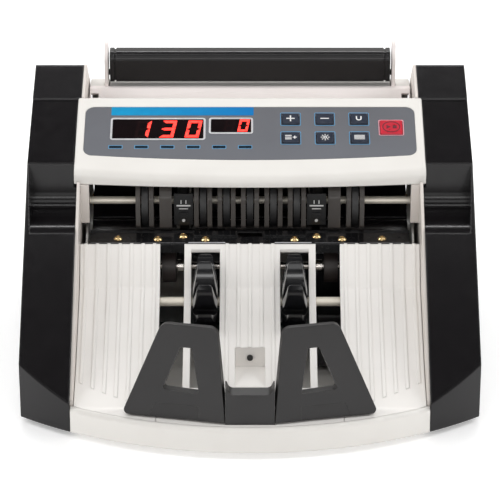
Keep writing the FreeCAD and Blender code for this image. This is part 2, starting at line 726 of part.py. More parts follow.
frame_points = [
    (dim.stack_y - 14.0, 12.2),
    (dim.stack_y - 14.0, dim.stack_z - 4.0),
    (dim.stack_y + 12.0, dim.stack_z + 8.0),
    (dim.knee_y - 2.2, 92.0),
    (dim.knee_y - 2.2, dim.knee_z - 11.0),
    (dim.knee_y + 37.0, dim.knee_z - 11.0),
    (dim.knee_y + 42.5, 101.0),
    (dim.feed_y + 9.0, dim.feed_z + 8.0),
    (dim.feed_y + 16.0, dim.feed_z - 4.0),
    (dim.feed_y + 16.0, 12.2),
]
BUSH_WALL = 1.0
JOURNAL_GAP = 0.05
SHAFTS = [
    ("count", dim.count_y, dim.count_z, dim.count_shaft_r),
    ("exit", dim.exit_y, dim.exit_z, 2.5),
    ("stack", dim.stack_y, dim.stack_z, 3.0),
    ("feed", dim.feed_y, dim.feed_z, 3.0),
]
bushes = []
for side, low_x in (("left", -dim.frame_x - dim.frame_sheet), ("right", dim.frame_x)):
    plate = padded_outline(f"{side}_frame", "YZ_Plane", frame_points, dim.frame_sheet)
    place(plate, x=low_x)
    holes = [rod(f"{side}_{name}_seat", r + BUSH_WALL, 12.0, low_x - 5.0, y, z) for name, y, z, r in SHAFTS]
    if side == "right":
        holes.append(rod("axle_seat", 3.0, 12.0, low_x - 5.0, STACK_MOTOR_Y, STACK_MOTOR_Z))
    keep(cut(f"{side}_frame_drilled", plate, holes), f"side_plate_{side}")
    for name, y, z, shaft_r in SHAFTS:
        outer = rod(f"{side}_{name}_bush", shaft_r + BUSH_WALL, 2.6, low_x - 0.55, y, z)
        bore = rod(f"{side}_{name}_bore", shaft_r + JOURNAL_GAP, 6.0, low_x - 2.0, y, z)
        bushes.append(cut(f"{side}_{name}_bearing", outer, [bore]))
keep(group("bushes", bushes), "shaft_bushes")

SHAFT_END = 108.6
keep(rod("count_rod", dim.count_shaft_r, 2 * SHAFT_END, -SHAFT_END, dim.count_y, dim.count_z), "count_shaft")
keep(rod("stack_rod", 3.0, SHAFT_END + 125.0, -SHAFT_END, dim.stack_y, dim.stack_z), "impeller_shaft")
keep(rod("feed_rod", 3.0, 2 * SHAFT_END, -SHAFT_END, dim.feed_y, dim.feed_z), "feed_shaft")

COUNT_ROLLER_X = [-68.7, -30.6, -15.3, 0.0, 15.3, 30.6, 68.7]
ROLLER_WIDTH = 4.3


def wheel_on_shaft(name, radius, width, x, y, z, shaft_r):
    outer = rod(name, radius, width, x - width / 2, y, z)
    bore = rod(name + "_hole", shaft_r, width + 2.0, x - width / 2 - 1.0, y, z)
    return cut(name + "_bored", outer, [bore])


count_rollers = [
    wheel_on_shaft(
        f"count_wheel_{i}", dim.count_roller_r, ROLLER_WIDTH, x, dim.count_y, dim.count_z, dim.count_shaft_r
    )
    for i, x in enumerate(COUNT_ROLLER_X)
]
keep(group("count_wheels", count_rollers), "count_rollers")

feed_rollers = [
    wheel_on_shaft(f"feed_wheel_{i}", dim.feed_roller_r, 12.0, x, dim.feed_y, dim.feed_z, 3.0)
    for i, x in enumerate((-23.0, 23.0))
]
keep(group("feed_wheels", feed_rollers), "feed_rollers")

exit_rod = rod("exit_rod", 2.5, 2 * SHAFT_END, -SHAFT_END, dim.exit_y, dim.exit_z)
exit_tyres = [
    rod(f"exit_tyre_{i}", 10.8, 9.0, x - 4.5, dim.exit_y, dim.exit_z) for i, x in enumerate((-53.0, 53.0))
]
exit_collars = [
    rod(f"exit_collar_{i}", 4.2, 4.0, x, dim.exit_y, dim.exit_z) for i, x in enumerate((-47.5, 43.5))
]
keep(fuse("exit_roller", [exit_rod] + exit_tyres + exit_collars), "exit_roller_shaft")

VANES = 10
IMPELLER_WIDTH = 16.0


def impeller():
    """Hub with swept, tapering vanes, centred on the origin and spinning about X."""
    tip = dim.impeller_r.value
    half = IMPELLER_WIDTH / 2
    hub = Part.makeCylinder(9.5, IMPELLER_WIDTH, Vec(-half, 0, 0), Vec(1, 0, 0))
    bore = Part.makeCylinder(3.0, IMPELLER_WIDTH + 4, Vec(-half - 2, 0, 0), Vec(1, 0, 0))
    # one vane: a crescent in the Y-Z plane
    root_back, root_front = Vec(-half, -4.3, 7.3), Vec(-half, 0.6, 8.4)
    point = Vec(-half, 14.3, 27.3)
    back = Part.Arc(root_back, Vec(-half, 0.9, 20.0), point).toShape()
    front = Part.Arc(point, Vec(-half, 5.2, 17.6), root_front).toShape()
    root = Part.LineSegment(root_front, root_back).toShape()
    strip = Part.Face(Part.Wire([back, front, root])).extrude(Vec(IMPELLER_WIDTH, 0, 0))
    # across its width a vane narrows towards the tip
    taper = [(-half, 0, 0), (half, 0, 0), (half, 13.0, 10.0)]
    taper += [(4.2, tip, 3.0), (-4.2, tip, 3.0), (-half, 13.0, 10.0)]
    envelope = Part.Face(rounded_outline(taper, lambda p: Vec(p.x, p.y, 0)))
    strip = strip.common(envelope.revolve(Vec(0, 0, 0), Vec(1, 0, 0), 360))
    vanes = []
    for i in range(VANES):
        vane = strip.copy()
        vane.rotate(Vec(0, 0, 0), Vec(1, 0, 0), i * 360.0 / VANES)
        vanes.append(vane)
    return hub.fuse(vanes).cut(bore).removeSplitter()


wheel = impeller()
for side, x in (("left", -dim.impeller_x), ("right", dim.impeller_x)):
    node = solid(f"impeller_{side}_wheel", wheel)
    place(node, x=x, y=dim.stack_y, z=dim.stack_z)
    keep(node, f"impeller_{side}")

# --------------------------------------------------------------------------------------------------
# Note path: comb of guide fins, curved guide, feed table and exit plate
# --------------------------------------------------------------------------------------------------

FIN_THICK = 3.0


def guide_comb():
    """Pairs of fins that stand in front of the rollers, and two broad fingers, hung from one bar."""
    fin = [
        (8.5, 92.0, 2.0),
        (14.0, 89.5, 2.0),
        (21.5, 90.5, 1.0),
        (21.5, 97.0, 4.0),
        (20.5, 110.0, 4.0),
        (23.5, 122.5, 0),
        (23.5, 127.0, 0),
        (17.0, 127.0, 0),
        (15.0, 120.4, 1.0),
        (8.8, 112.0, 4.0),
    ]
    pieces = [Part.makeBox(176.0, 8.0, 3.2, Vec(-88.0, 15.5, 123.6))]
    for x in COUNT_ROLLER_X:
        for side in (-1, 1):
            middle = x + side * (ROLLER_WIDTH / 2 + 0.7 + FIN_THICK / 2)
            pieces.append(prism_x(fin, middle - FIN_THICK / 2, middle + FIN_THICK / 2))
    finger = [
        (9.0, 91.0, 1.0),
        (12.5, 91.0, 1.0),
        (12.5, 115.0, 0),
        (19.0, 123.6, 0),
        (19.0, 126.8, 0),
        (16.0, 126.8, 0),
        (14.6, 120.4, 0),
        (9.0, 113.0, 4.0),
    ]
    for x in (-55.0, 55.0):
        pieces.append(prism_x(finger, x - 4.0, x + 4.0))
    return pieces[0].fuse(pieces[1:]).removeSplitter()


keep(solid("comb", guide_comb()), "roller_guide_comb")

PATH_HALF = 104.5
MAIN_BELT_X = -44.0
FEED_BELT_X = 44.0
BELT_SLOT = 9.6
GUIDE_R = 21.5
GUIDE_SHEET = 2.0


def curved_guide():
    """Glossy trough concentric with the count rollers, from the exit plate round to the feed table."""
    centre = Vec(-PATH_HALF, dim.count_y.value, dim.count_z.value)
    low, high = math.radians(-136.0), math.radians(-61.0)

    def on_arc(radius, angle):
        return centre + Vec(0, radius * math.cos(angle), radius * math.sin(angle))

    middle = (low + high) / 2
    inner = Part.Arc(on_arc(GUIDE_R, low), on_arc(GUIDE_R, middle), on_arc(GUIDE_R, high)).toShape()
    far = GUIDE_R + GUIDE_SHEET
    outer = Part.Arc(on_arc(far, low), on_arc(far, middle), on_arc(far, high)).toShape()
    ends = [Part.LineSegment(on_arc(GUIDE_R, a), on_arc(far, a)).toShape() for a in (low, high)]
    trough = Part.Face(Part.Wire([inner, ends[1], outer, ends[0]])).extrude(Vec(2 * PATH_HALF, 0, 0))
    slot_corner = Vec(MAIN_BELT_X - BELT_SLOT / 2, dim.count_y.value + 2.0, 74.0)
    slot = Part.makeBox(BELT_SLOT, 20.0, 20.0, slot_corner)
    return trough.cut(slot)


keep(solid("trough", curved_guide()), "curved_note_guide")

TABLE_SHEET = 2.0
feed_table_body = padded_outline(
    "feed_table_body",
    "YZ_Plane",
    [
        (39.6, 85.9),
        (dim.hopper_low_y - 1.0, dim.hopper_low_z - 0.6),
        (dim.hopper_low_y - 1.0, dim.hopper_low_z - 3.2),
        (40.6, 83.7),
    ],
    2 * PATH_HALF,
    middle=True,
)
table_slots = [
    block(f"feed_slot_{i}", 14.0, 40.0, 60.0, x - 7.0, dim.feed_y - 21.0, dim.feed_z - 20.0)
    for i, x in enumerate((-23.0, 23.0))
]
for slot in table_slots:
    bind(slot, "Width", 24.0)
for i, x in enumerate((MAIN_BELT_X, FEED_BELT_X)):
    table_slots.append(block(f"belt_slot_{i}", BELT_SLOT, 28.0, 60.0, x - BELT_SLOT / 2, 35.6, 70.0))
keep(cut("feed_table_slotted", feed_table_body, table_slots), "feed_table")


def exit_plate():
    """Black steel plate over the notes' way out, with a raised rear flange either side of its middle."""
    top = dim.tray_top_z.value
    front = dim.tray_top_y.value + 0.4
    points = [
        (front, top - 1.5, 0),
        (front, top, 0.7),
        (10.0, top, 0),
        (10.0, top - 1.5, 0),
    ]
    plate = prism_x(points, -104.5, 104.5)
    lip = Part.makeBox(209.0, 1.5, 6.0, Vec(-104.5, front, top - 6.5))
    notch = Part.makeBox(16.0, 9.0, 10.0, Vec(-8.0, 3.5, top - 5.0))
    flanges = [Part.makeBox(28.0, 7.0, 1.4, Vec(x, 3.0, top)) for x in (-36.5, 8.5)]
    plate = plate.fuse([lip] + flanges).cut(notch)
    holes = [Part.makeCylinder(1.5, 20.0, Vec(x, y, top - 10.0)) for x, y in SCREW_SPOTS]
    return plate.cut(holes)


SCREW_SPOTS = [(s * x, y) for x, y in ((86.0, 0.5), (60.0, -0.5), (43.5, 4.0), (29.0, -1.0)) for s in (-1, 1)]
keep(solid("way_out", exit_plate()), "exit_plate")


def pan_screw(x, y, z):
    """Small cross-head screw standing on a surface at height z."""
    head = Part.makeSphere(3.4, Vec(x, y, z - 1.5))
    head = head.common(Part.makeCylinder(3.0, 3.0, Vec(x, y, z)))
    shank = Part.makeCylinder(1.45, 6.0, Vec(x, y, z - 6.0))
    slots = [
        Part.makeBox(3.2, 0.7, 2.0, Vec(x - 1.6, y - 0.35, z + 1.0)),
        Part.makeBox(0.7, 3.2, 2.0, Vec(x - 0.35, y - 1.6, z + 1.0)),
    ]
    return head.fuse(shank).cut(slots)


def screw_seat(x, y):
    """Height of the surface that a screw at x, y clamps."""
    on_flange = 8.5 < abs(x) < 36.5 and y > 3.0
    return dim.tray_top_z.value + (1.4 if on_flange else 0.0)


screws = [pan_screw(x, y, screw_seat(x, y)) for x, y in SCREW_SPOTS]
keep(solid("brass_screws", Part.makeCompound(screws)), "exit_plate_screws")

boards = []
for i, x in enumerate((-43.5, 43.5)):
    board = block(f"sensor_board_{i}", 12.6, 1.6, 22.0, x - 6.3, dim.knee_y - 4.5, 91.0)
    can = block(f"sensor_can_{i}", 5.0, 2.0, 3.0, x - 2.5, dim.knee_y - 6.5, 97.0)
    boards.append(fuse(f"sensor_set_{i}", [board, can]))
keep(group("sensors", boards + [lens]), "note_sensors")

# --------------------------------------------------------------------------------------------------
# Display housing and everything on its slope
# --------------------------------------------------------------------------------------------------

SLOPE_RISE = dim.shoulder_z.value - dim.knee_z.value
SLOPE_RUN = dim.shoulder_y.value - dim.knee_y.value
SLOPE = math.degrees(math.atan2(SLOPE_RISE, SLOPE_RUN))
SLOPE_LENGTH = math.hypot(dim.shoulder_z.value - dim.knee_z.value, dim.shoulder_y.value - dim.knee_y.value)
PANEL_TURN = Turn(Vec(1, 0, 0), SLOPE)
PANEL = App.Placement(Vec(0, dim.knee_y.value, dim.knee_z.value), PANEL_TURN)
HOUSING_HALF = 114.5
LIP_SAG = 6.5
HOUSING_LOW = 121.2
LIP_RADIUS = (HOUSING_HALF**2 + LIP_SAG**2) / (2 * LIP_SAG)


def housing_block(inset):
    """The display housing as a solid with a bowed front lip, every face moved in by inset."""
    rise = math.tan(math.radians(SLOPE))
    drop = inset / math.cos(math.radians(SLOPE))

    def on_slope(y):
        return dim.knee_z.value + (y - dim.knee_y.value) * rise - drop

    lip_y = dim.knee_y.value - 7.0 - LIP_SAG
    rear = dim.shoulder_y.value - inset
    low = HOUSING_LOW if inset == 0 else HOUSING_LOW - 10.0
    side = [
        (lip_y - 10.0, low, 0),
        (lip_y - 10.0, on_slope(lip_y - 10.0), 0),
        (rear, on_slope(rear), 0),
        (rear, low, 0),
    ]
    half = HOUSING_HALF - inset
    body = prism_x(side, -half, half)
    body = body.common(Part.makeCylinder(LIP_RADIUS - inset, 200.0, Vec(0, lip_y + LIP_RADIUS, 0)))
    lip = [e for e in body.Edges if e.Length > 150.0 and not isinstance(e.Curve, Part.Line)
           and e.CenterOfMass.z > HOUSING_LOW + 2.0]
    return body.makeFillet(6.0 - inset, lip)


def display_housing():
    """Light shell with a recess for the overlay and windows for what is behind it."""
    body = housing_block(0.0)
    end_edges = [e for e in body.Edges if abs(abs(e.CenterOfMass.x) - HOUSING_HALF) < 0.01
                 and e.CenterOfMass.z > dim.knee_z.value + 5.0]
    body = body.makeFillet(1.0, end_edges)
    body = body.cut(housing_block(dim.wall.value))
    body = body.cut(in_panel(overlay_face(0.15).extrude(Vec(0, 0, 5.0)), -dim.overlay_sheet.value - 0.05))
    openings = []
    for low_x, high_x, low_v, high_v in WINDOWS + [key_box(*key[1:]) for key in KEYS]:
        openings.append(panel_box(low_x - 0.4, high_x + 0.4, low_v - 0.4, high_v + 0.4, -12.0, 3.0))
    for x in LAMP_X:
        openings.append(panel_box(x - 4.1, x + 4.1, LAMP_V - 1.4, LAMP_V + 1.4, -12.0, 3.0))
    return body.cut(openings)


def in_panel(shape, lift=0.0):
    """Puts a shape drawn on the panel (X across, Y up the slope, Z out of it) in its place."""
    shape = shape.copy()
    shape.translate(Vec(0, 0, lift))
    shape.Placement = PANEL.multiply(shape.Placement)
    return shape


def panel_box(low_x, high_x, low_v, high_v, low_w, high_w):
    box = Part.makeBox(high_x - low_x, high_v - low_v, high_w - low_w, Vec(low_x, low_v, low_w))
    return in_panel(box)


def overlay_face(grow):
    """The overlay's outline on the panel: straight top and sides, bowed lower edge, round corners."""
    half = dim.panel_half.value + grow
    top = dim.panel_top.value + grow
    low = dim.panel_low.value - grow
    middle = dim.panel_mid.value - grow
    corner = 6.0
    shoulder_x = half - corner
    k = corner * (1 - math.sqrt(0.5))
    lines = [
        Part.Arc(Vec(-shoulder_x, low, 0), Vec(0, middle, 0), Vec(shoulder_x, low, 0)),
        Part.Arc(Vec(shoulder_x, low, 0), Vec(half - k, low + k, 0), Vec(half, low + corner, 0)),
        Part.LineSegment(Vec(half, low + corner, 0), Vec(half, top - corner, 0)),
        Part.Arc(Vec(half, top - corner, 0), Vec(half - k, top - k, 0), Vec(shoulder_x, top, 0)),
        Part.LineSegment(Vec(shoulder_x, top, 0), Vec(-shoulder_x, top, 0)),
        Part.Arc(Vec(-shoulder_x, top, 0), Vec(-half + k, top - k, 0), Vec(-half, top - corner, 0)),
        Part.LineSegment(Vec(-half, top - corner, 0), Vec(-half, low + corner, 0)),
        Part.Arc(Vec(-half, low + corner, 0), Vec(-half + k, low + k, 0), Vec(-shoulder_x, low, 0)),
    ]
    return Part.Face(Part.Wire([line.toShape() for line in lines]))


WINDOWS = [(-90.7, -30.7, 22.6, 40.6), (-25.8, 0.7, 28.4, 40.8)]
LAMP_X = [-88.2 + 17.0 * i for i in range(6)]
LAMP_V = 14.7


def column(i):
    return dim.key_first_x.value + i * dim.key_pitch.value


KEYS = [
    ("key_plus", column(0), dim.key_row_high.value, 1.0),
    ("key_minus", column(1), dim.key_row_high.value, 1.0),
    ("key_magnetic", column(2), dim.key_row_high.value, 1.0),
    ("key_add", column(0), dim.key_row_low.value, 1.0),
    ("key_ultraviolet", column(1), dim.key_row_low.value, 1.0),
    ("key_batch", column(2), dim.key_row_low.value, 1.0),
    ("key_start", 93.2, 32.8, 1.32),
]


def key_box(x, v, scale):
    """The key's sides on the panel."""
    half_width = dim.key_width.value * scale / 2
    half_length = dim.key_length.value * scale / 2
    return x - half_width, x + half_width, v - half_length, v + half_length


keep(solid("housing", display_housing()), "display_housing")


def overlay():
    sheet_body = overlay_face(0.0).extrude(Vec(0, 0, dim.overlay_sheet.value))
    gap = dim.key_gap.value
    holes = []
    for low_x, high_x, low_v, high_v in WINDOWS:
        holes.append(Part.makeBox(high_x - low_x, high_v - low_v, 9.0, Vec(low_x, low_v, -4.0)))
    for _, x, v, scale in KEYS:
        low_x, high_x, low_v, high_v = key_box(x, v, scale)
        width, height = high_x - low_x + 2 * gap, high_v - low_v + 2 * gap
        holes.append(Part.makeBox(width, height, 9.0, Vec(low_x - gap, low_v - gap, -4.0)))
    for x in LAMP_X:
        holes.append(Part.makeBox(7.7, 2.3, 9.0, Vec(x - 3.85, LAMP_V - 1.15, -4.0)))
    return in_panel(sheet_body.cut(holes), -dim.overlay_sheet.value)


keep(solid("overlay", overlay()), "panel_overlay")

for label, x, v, scale in KEYS:
    low_x, high_x, low_v, high_v = key_box(x, v, scale)
    outline = [(low_x, low_v, 0.9), (high_x, low_v, 0.9), (high_x, high_v, 0.9), (low_x, high_v, 0.9)]
    face = Part.Face(rounded_outline(outline, lambda p: Vec(p.x, p.y, 0)))
    cap = face.extrude(Vec(0, 0, 3.9))
    cap = cap.makeFillet(0.35, [e for e in cap.Edges if min(vertex.Z for vertex in e.Vertexes) > 3.89])
    keep(solid(label + "_cap", in_panel(cap, -3.1)), label)

lenses = [panel_box(a + 0.05, b - 0.05, c + 0.05, d - 0.05, -2.6, -0.1) for a, b, c, d in WINDOWS]
keep(solid("lenses", Part.makeCompound(lenses)), "display_windows")

SEGMENTS = {"1": "bc", "3": "abcdg", "0": "abcdef"}
SEGMENT_SLANT = 0.16


def lit_digit(figure, x, v, width, height, stroke, lift, thick):
    """The lit bars of one seven-segment figure, its lower left corner at x, v."""
    half = height / 2
    low, high = half - stroke / 2, half + stroke / 2
    inner = width - stroke
    gap = 0.25
    bars = {
        "a": [(0, height), (width, height), (inner, height - stroke), (stroke, height - stroke)],
        "d": [(0, 0), (width, 0), (inner, stroke), (stroke, stroke)],
        "f": [(0, height - gap), (0, half + gap), (stroke, high + gap), (stroke, height - stroke - gap)],
        "e": [(0, gap), (0, half - gap), (stroke, low - gap), (stroke, stroke + gap)],
        "b": [(width, height - gap), (width, half + gap), (inner, high + gap), (inner, height - stroke - gap)],
        "c": [(width, gap), (width, half - gap), (inner, low - gap), (inner, stroke + gap)],
        "g": [(gap, half), (stroke, high), (inner, high), (width - gap, half), (inner, low), (stroke, low)],
    }
    made = []
    for name in SEGMENTS[figure]:
        corners = [Vec(x + a + b * SEGMENT_SLANT, v + b, lift) for a, b in bars[name]]
        made.append(Part.Face(Part.makePolygon(corners + [corners[0]])).extrude(Vec(0, 0, thick)))
    return made


digits = []
for i, figure in ((1, "1"), (2, "3"), (3, "0")):
    digits += lit_digit(figure, -93.2 + 16.7 * i, 23.6, 9.2, 15.6, 2.1, 0, 0.35)
digits += lit_digit("0", -8.4, 29.2, 6.6, 11.0, 1.6, 0, 0.35)
keep(solid("lit_bars", Part.makeCompound([in_panel(bar, -0.1) for bar in digits])), "lit_digits")

board = Part.makeBox(204.0, 44.0, 1.6, Vec(-102.0, 8.0, -7.4))
lamps = [panel_box(x - 3.7, x + 3.7, LAMP_V - 1.0, LAMP_V + 1.0, -5.8, -0.1) for x in LAMP_X]
keep(solid("display_pcb", Part.makeCompound([in_panel(board)] + lamps)), "display_board")

# --------------------------------------------------------------------------------------------------
# Rear hatch: cover, hopper plate, note support flap and hopper guides
# --------------------------------------------------------------------------------------------------

SHELF_END_Y = 118.5
GUIDE_KEY_AT = 36.0


def hopper_plate():
    """Sloping plate that the notes lie on, with a raised swept panel, and two ears for the flap's pins."""
    wall = dim.wall.value
    half = dim.hopper_half.value
    low_y, low_z = dim.hopper_low_y.value, dim.hopper_low_z.value
    top_y, top_z = dim.hopper_top_y.value, dim.hopper_top_z.value
    rise = math.atan2(top_z - low_z, top_y - low_y)
    side = [
        (low_y, low_z, 0),
        (top_y, top_z, 2.0),
        (SHELF_END_Y, top_z, 0),
        (SHELF_END_Y, top_z - wall, 0),
        (top_y + 1.0, top_z - wall, 0),
        (low_y + wall * math.sin(rise), low_z - wall * math.cos(rise), 0),
    ]
    plate = prism_x(side, -half, half)
    turn = App.Placement(Vec(0, low_y, low_z), Turn(Vec(1, 0, 0), math.degrees(rise)))
    length = math.hypot(top_y - low_y, top_z - low_z)
    swells = []
    wide = (72.0, length - 8.0, length - 2.4, 1.1)
    narrow = (36.0, length - 8.4, length - 4.2, 2.2)
    for spread, shoulder, height, lift in (wide, narrow):
        edge = [
            Part.Arc(Vec(-spread, shoulder, -0.5), Vec(0, height, -0.5), Vec(spread, shoulder, -0.5)),
            Part.LineSegment(Vec(spread, shoulder, -0.5), Vec(spread, 20.0, -0.5)),
            Part.LineSegment(Vec(spread, 20.0, -0.5), Vec(-spread, 20.0, -0.5)),
            Part.LineSegment(Vec(-spread, 20.0, -0.5), Vec(-spread, shoulder, -0.5)),
        ]
        swell = Part.Face(Part.Wire([e.toShape() for e in edge])).extrude(Vec(0, 0, lift + 0.5))
        swell.Placement = turn.multiply(swell.Placement)
        swells.append(swell)
    plate = plate.fuse(swells)
    # slots that the hopper guides run in, and a square catch hole at each end
    slots = []
    for low_x, width, depth, at in (
        (73.0, 36.0, 3.2, GUIDE_KEY_AT),
        (-109.0, 36.0, 3.2, GUIDE_KEY_AT),
        (103.3, 5.0, 3.4, 7.2),
        (-108.3, 5.0, 3.4, 7.2),
    ):
        slot = Part.makeBox(width, depth, 12.0, Vec(low_x, length - at, -6.0))
        slot.Placement = turn.multiply(slot.Placement)
        slots.append(slot)
    plate = plate.cut(slots)
    ear = [(117.0, top_z - 1.0, 0), (130.5, top_z - 1.0, 0), (130.5, 170.0, 5.0)]
    ear += [(126.5, 180.4, 3.0), (121.0, 180.4, 3.0), (117.0, 170.0, 5.0)]
    bore = Part.makeCylinder(EAR_BORE, 20.0, Vec(-10.0, 0, 0), Vec(1, 0, 0))
    ears = []
    for side in (-1, 1):
        low_x = dim.flap_half.value + 1.2 if side > 0 else -dim.flap_half.value - 1.2 - EAR_THICK
        tab = prism_x(ear, low_x, low_x + EAR_THICK)
        hole = bore.copy()
        hole.translate(Vec(low_x, dim.flap_pin_y.value, dim.flap_pin_z.value))
        ears.append(tab.cut(hole))
    foot_pads = []
    for ear_shape in ears:
        box = ear_shape.BoundBox
        pad_corner = Vec(box.XMin - 1.0, 115.0, top_z - wall)
        foot_pads.append(Part.makeBox(box.XLength + 2.0, SHELF_END_Y - 115.0, wall, pad_corner))
    return plate.fuse(ears + foot_pads).removeSplitter()


EAR_THICK = 2.4
EAR_BORE = 2.05
PIN_R = 2.0
keep(solid("hopper", hopper_plate()), "hopper_plate")


def support_flap():
    """Black bar that the upper part of the notes leans on, with a pin at each end."""
    half = dim.flap_half.value
    front = dim.flap_y.value
    back = front + dim.flap_depth.value
    low, high = dim.flap_low.value, dim.flap_high.value
    side = [(front + 1.0, low, 2.0), (back, low, 2.0), (back, high, 3.5), (front, high, 5.0)]
    bar = prism_x(side, -half, half)
    waist = []
    around = [(front - 5, low - 5, 0), (back + 5, low - 5, 0)]
    around += [(back + 5, high + 5, 0), (front - 5, high + 5, 0)]
    neck = [(front + 1.8, low + 0.8, 1.5), (back - 0.8, low + 0.8, 1.5)]
    neck += [(back - 0.8, high - 0.8, 3.0), (front + 0.8, high - 0.8, 4.5)]
    for x in (-half + 3.0, half - 4.2):
        waist.append(prism_x(around, x, x + 1.2).cut(prism_x(neck, x, x + 1.2)))
    pins = [
        Part.makeCylinder(PIN_R, 3.4, Vec(x, dim.flap_pin_y.value, dim.flap_pin_z.value), Vec(1, 0, 0))
        for x in (-half - 3.4, half)
    ]
    return bar.cut(waist).fuse(pins)


keep(solid("flap", support_flap()), "note_support_flap")


def rear_cover():
    """Rear wall of the hatch with vent slots and a short roof that meets the hopper plate."""
    wall = dim.wall.value
    rear = dim.rear_y.value
    top = dim.hopper_top_z.value
    low = dim.hatch_z.value - 3.4
    side = [
        (rear - wall, low, 0),
        (rear, low, 2.0),
        (rear, top - 5.0, 0),
        (rear - 5.0, top - 0.2, 0),
        (SHELF_END_Y + 0.1, top - 0.2, 0),
        (SHELF_END_Y + 0.1, top - 0.2 - wall, 0),
        (rear - 6.0, top - 0.2 - wall, 0),
        (rear - wall, top - 6.0, 0),
    ]
    cover = prism_x(side, -dim.hopper_half.value, dim.hopper_half.value)
    ear_notches = []
    for side in (-1, 1):
        x = side * (dim.flap_half.value + 1.2 + EAR_THICK / 2)
        notch_corner = Vec(x - EAR_THICK / 2 - 0.5, 116.5, top - 6.0)
        ear_notches.append(Part.makeBox(EAR_THICK + 1.0, 14.0, 8.0, notch_corner))
    vents = [Part.makeBox(3.0, 10.0, 34.0, Vec(-66.0 + 8.0 * i, rear - 6.0, 70.0)) for i in range(17)]
    # the open hatch swings its lower edge past the hinge posts
    post_notches = []
    for x in hinge_post_spots():
        post_notches.append(Part.makeBox(4.2, 10.0, 10.0, Vec(x - 0.5, rear - 6.0, low - 5.0)))
    leaves = []
    for x in HINGE_X:
        axle = Vec(x, dim.hatch_y.value, dim.hatch_z.value)
        knuckle = Part.makeCylinder(3.0, HINGE_WIDTH, axle, Vec(1, 0, 0))
        arm = Part.makeBox(HINGE_WIDTH, 4.1, 8.0, axle)
        bore = Part.makeCylinder(HINGE_PIN_R + 0.05, 60.0, axle - Vec(10.0, 0, 0), Vec(1, 0, 0))
        leaves.append(knuckle.fuse(arm).cut(bore))
    return cover.cut(ear_notches + vents + post_notches).fuse(leaves).removeSplitter()


keep(solid("hatch_cover", rear_cover()), "rear_hatch_cover")

def hopper_guide(side):
    """Thin plate that stands square on the hopper plate and keeps the notes' ends in line."""
    low_y, low_z = dim.hopper_low_y.value, dim.hopper_low_z.value
    top_y, top_z = dim.hopper_top_y.value, dim.hopper_top_z.value
    rise = math.atan2(top_z - low_z, top_y - low_y)
    length = math.hypot(top_y - low_y, top_z - low_z)
    turn = App.Placement(Vec(0, low_y, low_z), Turn(Vec(1, 0, 0), math.degrees(rise)))
    low_x = 105.2 if side > 0 else -107.2
    reach = length - 10.0
    outline = [
        (length - 41.0, 0.3, 3.0),
        (reach - 3.5, 0.3, 0),
        (reach - 0.5, 2.2, 1.0),
        (reach - 0.5, 6.5, 1.0),
        (length - 24.0, 17.0, 6.0),
        (length - 41.0, 12.0, 4.0),
    ]
    blade = prism_x(outline, low_x, low_x + 2.0)
    finger = [(reach - 4.0, 2.6, 0), (reach - 0.5, 2.6, 0), (reach - 0.5, 6.3, 0), (reach - 4.0, 6.3, 0)]
    tab = prism_x(finger, low_x - 0.8, low_x + 2.8)
    key = Part.makeBox(2.0, 2.6, 2.9, Vec(low_x, length - GUIDE_KEY_AT + 0.3, -2.2))
    return fuse_in(turn, [blade, tab, key])


def fuse_in(turn, shapes):
    whole = shapes[0].fuse(shapes[1:]).removeSplitter()
    whole.Placement = turn.multiply(whole.Placement)
    return whole


keep(solid("guide_l", hopper_guide(-1)), "hopper_guide_left")
keep(solid("guide_r", hopper_guide(1)), "hopper_guide_right")

# --------------------------------------------------------------------------------------------------
# Drives and electrics
# --------------------------------------------------------------------------------------------------

stack_can = rod("stack_can", 17.0, 54.0, 44.0, STACK_MOTOR_Y, STACK_MOTOR_Z)
stack_boss = rod("stack_boss", 5.0, 2.0, 98.0, STACK_MOTOR_Y, STACK_MOTOR_Z)
keep(fuse("stack_motor_whole", [stack_can, stack_boss]), "stacker_motor")

MAIN_MOTOR_Y = 92.0
MAIN_MOTOR_Z = 34.0
main_can = rod("main_can", 25.0, 56.0, -36.0, MAIN_MOTOR_Y, MAIN_MOTOR_Z)
main_boss = rod("main_boss", 8.0, 2.6, -38.6, MAIN_MOTOR_Y, MAIN_MOTOR_Z)
keep(fuse("main_motor_whole", [main_can, main_boss]), "main_motor")

STACK_BELT_X = 119.0
BELT_WIDTH = 5.0


def pulley(name, radius, x, y, z, hole_r):
    """Flanged belt pulley, its groove centred on x."""
    rim = rod(name + "_rim", radius, BELT_WIDTH + 0.8, x - BELT_WIDTH / 2 - 0.4, y, z)
    shifts = (-BELT_WIDTH / 2 - 1.4, BELT_WIDTH / 2 + 0.4)
    flanges = [rod(f"{name}_flange_{i}", radius + 1.8, 1.0, x + shift, y, z) for i, shift in enumerate(shifts)]
    bore = rod(name + "_bore", hole_r, BELT_WIDTH + 10.0, x - BELT_WIDTH / 2 - 5.0, y, z)
    return cut(name + "_bored", fuse(name + "_whole", [rim] + flanges), [bore])


COUNT_PULLEY_R = 8.0
FEED_PULLEY_R = 8.0
MAIN_PULLEY_R = 6.0
STACK_PULLEY_R = 10.0
STACK_MOTOR_PULLEY_R = 5.0
count_pulleys = [
    pulley(f"count_pulley_{i}", COUNT_PULLEY_R, x, dim.count_y, dim.count_z, dim.count_shaft_r)
    for i, x in enumerate((MAIN_BELT_X, FEED_BELT_X))
]
keep(group("count_pulley_pair", count_pulleys), "count_pulleys")
keep(pulley("feed_wheel_pulley", FEED_PULLEY_R, FEED_BELT_X, dim.feed_y, dim.feed_z, 3.0), "feed_pulley")
stack_pulley = pulley("stack_wheel_pulley", STACK_PULLEY_R, STACK_BELT_X, dim.stack_y, dim.stack_z, 3.0)
keep(stack_pulley, "impeller_pulley")

